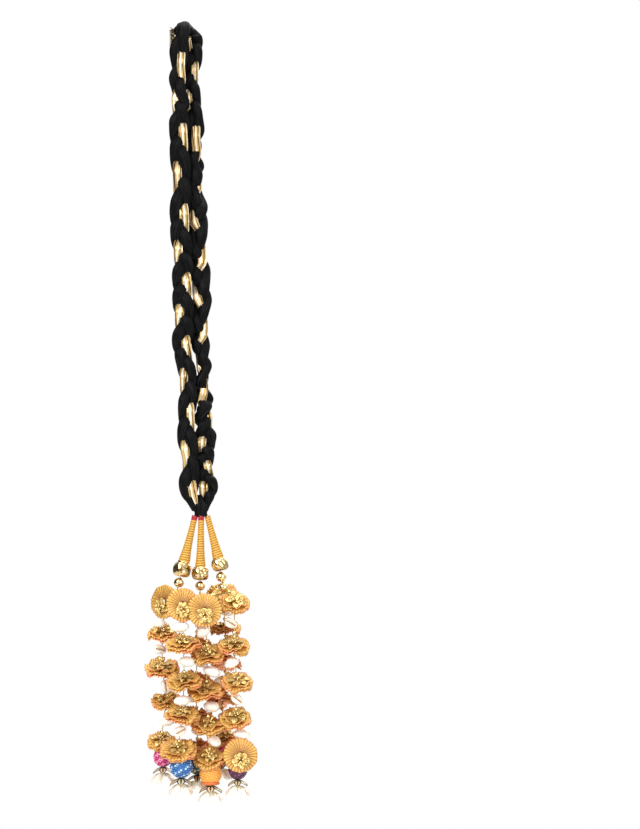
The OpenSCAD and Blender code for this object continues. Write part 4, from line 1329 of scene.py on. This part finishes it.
def woven_ball(d, knots, height, rng, rows_of_flecks):
    """A ball of knotted thread: r + h (cos(pi u) cos(pi v))^0.6 in cells laid like bricks.

    u and v run from -1/2 to 1/2 over a cell. Each cell has a number from 0 to 1 that picks its
    colour, which repeats every fourth cell along a slanting line, or is drawn at random.
    """
    rows = int(knots * 0.56)
    lat = np.linspace(0, 1, rows * 4 + 1)[:, None]
    tilt = 0.1 + lat * (np.pi - 0.2)
    a = np.arange(knots * 4) * TAU / (knots * 4)
    row = np.minimum((lat * rows).astype(int), rows - 1)
    turn = a / TAU * knots + 0.5 * (row % 2)
    u, v = turn % 1 - 0.5, lat * rows - row - 0.5
    knob = np.clip(np.cos(np.pi * u) * np.cos(np.pi * v), 0, 1) ** 0.6
    r = d / 2 - height * 0.5 + height * knob
    out = r * np.sin(tilt)
    points = np.stack([out * np.cos(a), out * np.sin(a), r * np.cos(tilt) + 0 * a], -1)
    shape = flipped(closed_tube(points))
    # depth is the knot's height, which the material turns into painted shade between the knots.
    shape["depth"] = np.clip(knob * 1.1, 0, 1).reshape(-1)
    cell = turn.astype(int) % knots
    slant = ((cell + (row + 1) // 2 + row // 2) % 4) / 4 + 0.02
    loose = rng.uniform(0, 1, (rows, knots))[row + 0 * cell, cell]
    shape["knot"] = (slant if rows_of_flecks else loose).reshape(-1)
    return shape


def cap_leaf(r):
    """A broad leaf along X that bends down as t^1.6, its width sin(pi t^0.75)^0.8.

    t runs from root to point. The section droops with the square of the place across it, and has a
    raised rim and midrib.
    """
    t = np.linspace(0.03, 0.99, 10)[:, None]
    w = np.array([-1, -0.84, -0.68, -0.3, 0, 0.3, 0.68, 0.84, 1, 0.5, -0.5])
    side = np.array([0, 1, 1, 1, 1, 1, 1, 1, 0, -1, -1])
    line = (np.abs(w) > 0.8) | (w == 0)
    half = 0.37 * r * np.sin(np.pi * t**0.75) ** 0.8 + 0.2
    z = -0.58 * r * t**1.6 - 0.16 * half * w**2 + 0.3 * line * (side >= 0)
    shape = flipped(closed_tube(np.stack([r * t + 0 * w, half * w, z + side * 0.35], -1)))
    shape["depth"] = np.broadcast_to(1.0 * ~line, z.shape).reshape(-1)
    return shape


class PARANDA_OT_drops(bpy.types.Operator):
    """Makes the woven beads and their leaf caps"""

    bl_idname = "paranda.drops"
    bl_label = "Woven beads"
    settings = "paranda_drops"

    def execute(self, context):
        s = context.scene.paranda_drops
        brass = antique_brass()
        # The collar's second colour is a painted glint and its third is painted shade in its grooves.
        collar_silk = wound_silk("Wound coral silk", srgb("e2702e"), srgb("f08a44"), srgb("9a3c14"))
        for i in STRINGS:
            fall, across, depth, d = DROP_BEADS[i]
            middle = at_fall(fall, across, depth)
            weave = knotted_thread(i)
            rng = np.random.default_rng(WEAVE_SEED + i)
            shape = woven_ball(d, s.knots, s.knot_h / MM, rng, WEAVES[i][5])
            lean = turned(("Y", 16), ("Z", 20 * i))
            node = f"drop_bead_{i + 1}"
            piece(f"woven_drop_{i + 1}", moved(shape, lean, middle), [weave], [node])
            r = d / 2
            disc = [(DISC_BORE_R, 0), (DISC_BORE_R, LEAF_T)]
            disc += [(0.3 * r, 1.1 * LEAF_T), (0.4 * r, 0.4 * LEAF_T), (0.36 * r, 0)]
            shapes = [flipped(lathe(disc, 32))]
            for k in range(LEAVES):
                turn = turned(("Z", (k + 0.5) * 360 / LEAVES))
                shapes.append(moved(cap_leaf(r), turn, turn @ np.array([0.18 * r, 0, LEAF_T / 2])))
            place = middle - np.array([0, 0, r + CAP_GAP + LEAF_T])
            materials = [brass]
            if i == COLLARED:
                a = np.linspace(0, TAU, 12, endpoint=False)
                # The collar is a hoop with a radius of 7.2 mm and an oval section, 3.4 mm up
                hoop = np.stack([7.2 + 2.0 * np.cos(a), 3.4 + 1.7 * np.sin(a)], -1)
                shapes.append(skinned(flipped(lathe(hoop, 48, (40, 9))), 1))
                materials.append(collar_silk)
            shape = placed(join(shapes), place)
            piece(f"leaf_cap_of_drop_{i + 1}", shape, materials, [f"leaf_cap_{i + 1}"])
        return {"FINISHED"}


# The stage

# Soft boxes: name, place, width, height and power. They face the middle of the tassel
SOFT_BOXES = [
    ("Key soft box", (-1500, -2300, 900), 1300, 1600, 76),
    ("Fill soft box", (1900, -2100, 100), 1200, 1500, 26),
    ("Top soft box", (100, 200, 1900), 1500, 1200, 60),
    ("Back soft box", (900, 2400, 600), 1500, 1500, 24),
]
MIDDLE = (10, 0, -400)


def soft_box(name, place, width, height, power):
    """An area light of that size at place, facing the tassel, all in millimetres."""
    data = bpy.data.lights.new(name, "AREA")
    data.shape, data.size, data.size_y = "RECTANGLE", width * MM, height * MM
    data.energy = power
    lamp = bpy.data.objects.new(name, data)
    lamp.location = Vector(place) * MM
    lamp.rotation_euler = (Vector(MIDDLE) - Vector(place)).to_track_quat("-Z", "Y").to_euler()
    bpy.context.scene.collection.objects.link(lamp)


# The photograph's size in pixels, one pixel being 1 mm at the tassel, and the origin's pixel in it
PHOTO_W, PHOTO_H = 640, 829
ORIGIN_X, ORIGIN_Y = 186, 32.5


class PARANDA_OT_stage(bpy.types.Operator):
    """Adds the floor, the soft boxes, the camera and the studio light"""

    bl_idname = "paranda.stage"
    bl_label = "Stage"
    settings = "paranda_stage"

    def execute(self, context):
        s = context.scene.paranda_stage
        view_x, view_z = PHOTO_W / 2 - ORIGIN_X, ORIGIN_Y - PHOTO_H / 2
        data = bpy.data.cameras.new("Camera")
        data.sensor_width = 36
        data.lens = data.sensor_width * s.distance / (PHOTO_H * MM)
        data.clip_start, data.clip_end = 0.1, 100
        camera = bpy.data.objects.new("Camera", data)
        camera.location = (view_x * MM, -s.distance, view_z * MM)
        camera.rotation_euler = (math.pi / 2, 0, 0)
        bpy.context.scene.collection.objects.link(camera)
        bpy.context.scene.camera = camera
        a = np.arange(96) * TAU / 96
        rim = np.stack([s.floor_r * np.cos(a), s.floor_r * np.sin(a), 0 * a + s.floor_z], -1)
        mesh = bpy.data.meshes.new("Floor")
        mesh.from_pydata(rim.tolist(), [], [list(range(len(a)))])
        floor = bpy.data.objects.new("Floor", mesh)
        mesh.materials.append(studio_paper())
        bpy.context.scene.collection.objects.link(floor)
        for row in SOFT_BOXES:
            soft_box(*row)
        world = bpy.data.worlds.new("Studio")
        bpy.context.scene.world = world
        world.use_nodes = True
        world.node_tree.nodes.clear()
        add = partial(add_node, world.node_tree)
        # What polished beads mirror is bright above and to the right, and dark at the left and below
        place = add("TexCoord").outputs["Generated"]
        way = add("SeparateXYZ", {"Vector": place})
        side, above = [
            add("MapRange", {
                "Value": way.outputs[axis], "From Min": start, "From Max": end, "To Min": dark,
                "To Max": 1.0,
            })
            for axis, start, end, dark in (("X", -0.75, -0.1, 0.08), ("Z", -0.6, 0.3, 0.1))
        ]
        mirrored = add("Math", {0: side, 1: above}, operation="MULTIPLY")
        ray = add("LightPath")
        soft = {"Factor": ray.outputs["Is Glossy Ray"], "A": (0.36, 0.36, 0.36, 1), "B": mirrored}
        soft = add("Mix", soft, data_type="RGBA")
        seen = {"Factor": ray.outputs["Is Camera Ray"], "A": soft, "B": (1.0, 1.0, 1.0, 1)}
        seen = add("Mix", seen, data_type="RGBA")
        background = add("Background", {"Color": seen, "Strength": 1.0})
        add("OutputWorld", {"Surface": background})
        bpy.context.scene.view_settings.view_transform = "Standard"
        bpy.context.scene.view_settings.exposure = 0.0
        return {"FINISHED"}


# Panel and registration

OPERATORS = [
    PARANDA_OT_stage,
    PARANDA_OT_plait,
    PARANDA_OT_neck,
    PARANDA_OT_beads,
    PARANDA_OT_strings,
    PARANDA_OT_flowers,
    PARANDA_OT_cowries,
    PARANDA_OT_drops,
]
SETTINGS = {
    "paranda_plait": ParandaPlaitSettings,
    "paranda_neck": ParandaNeckSettings,
    "paranda_beads": ParandaBeadSettings,
    "paranda_strings": ParandaStringSettings,
    "paranda_flowers": ParandaFlowerSettings,
    "paranda_shells": ParandaShellSettings,
    "paranda_drops": ParandaDropSettings,
    "paranda_stage": ParandaStageSettings,
}


class PARANDA_PT_sidebar(bpy.types.Panel):
    """Lists the pieces of the tassel, each with its settings"""

    bl_idname = "PARANDA_PT_sidebar"
    bl_label = "Paranda tassel"
    bl_space_type = "VIEW_3D"
    bl_region_type = "UI"
    bl_category = "Paranda"

    def draw(self, context):
        for cls in OPERATORS:
            box = self.layout.box()
            box.operator(cls.bl_idname)
            for name in SETTINGS[cls.settings].__annotations__:
                box.prop(getattr(context.scene, cls.settings), name)


def register():
    """Registers the settings, the operators and the panel, and gives the scene its settings."""
    for cls in [*SETTINGS.values(), *OPERATORS, PARANDA_PT_sidebar]:
        bpy.utils.register_class(cls)
    for name, cls in SETTINGS.items():
        setattr(bpy.types.Scene, name, PointerProperty(type=cls))


def unregister():
    """Takes away what register added."""
    for name in SETTINGS:
        delattr(bpy.types.Scene, name)
    for cls in [PARANDA_PT_sidebar, *OPERATORS, *SETTINGS.values()]:
        bpy.utils.unregister_class(cls)


def main():
    """Makes every piece in order."""
    register()
    for cls in OPERATORS:
        group, name = cls.bl_idname.split(".")
        getattr(getattr(bpy.ops, group), name)()


if __name__ == "__main__":
    main()
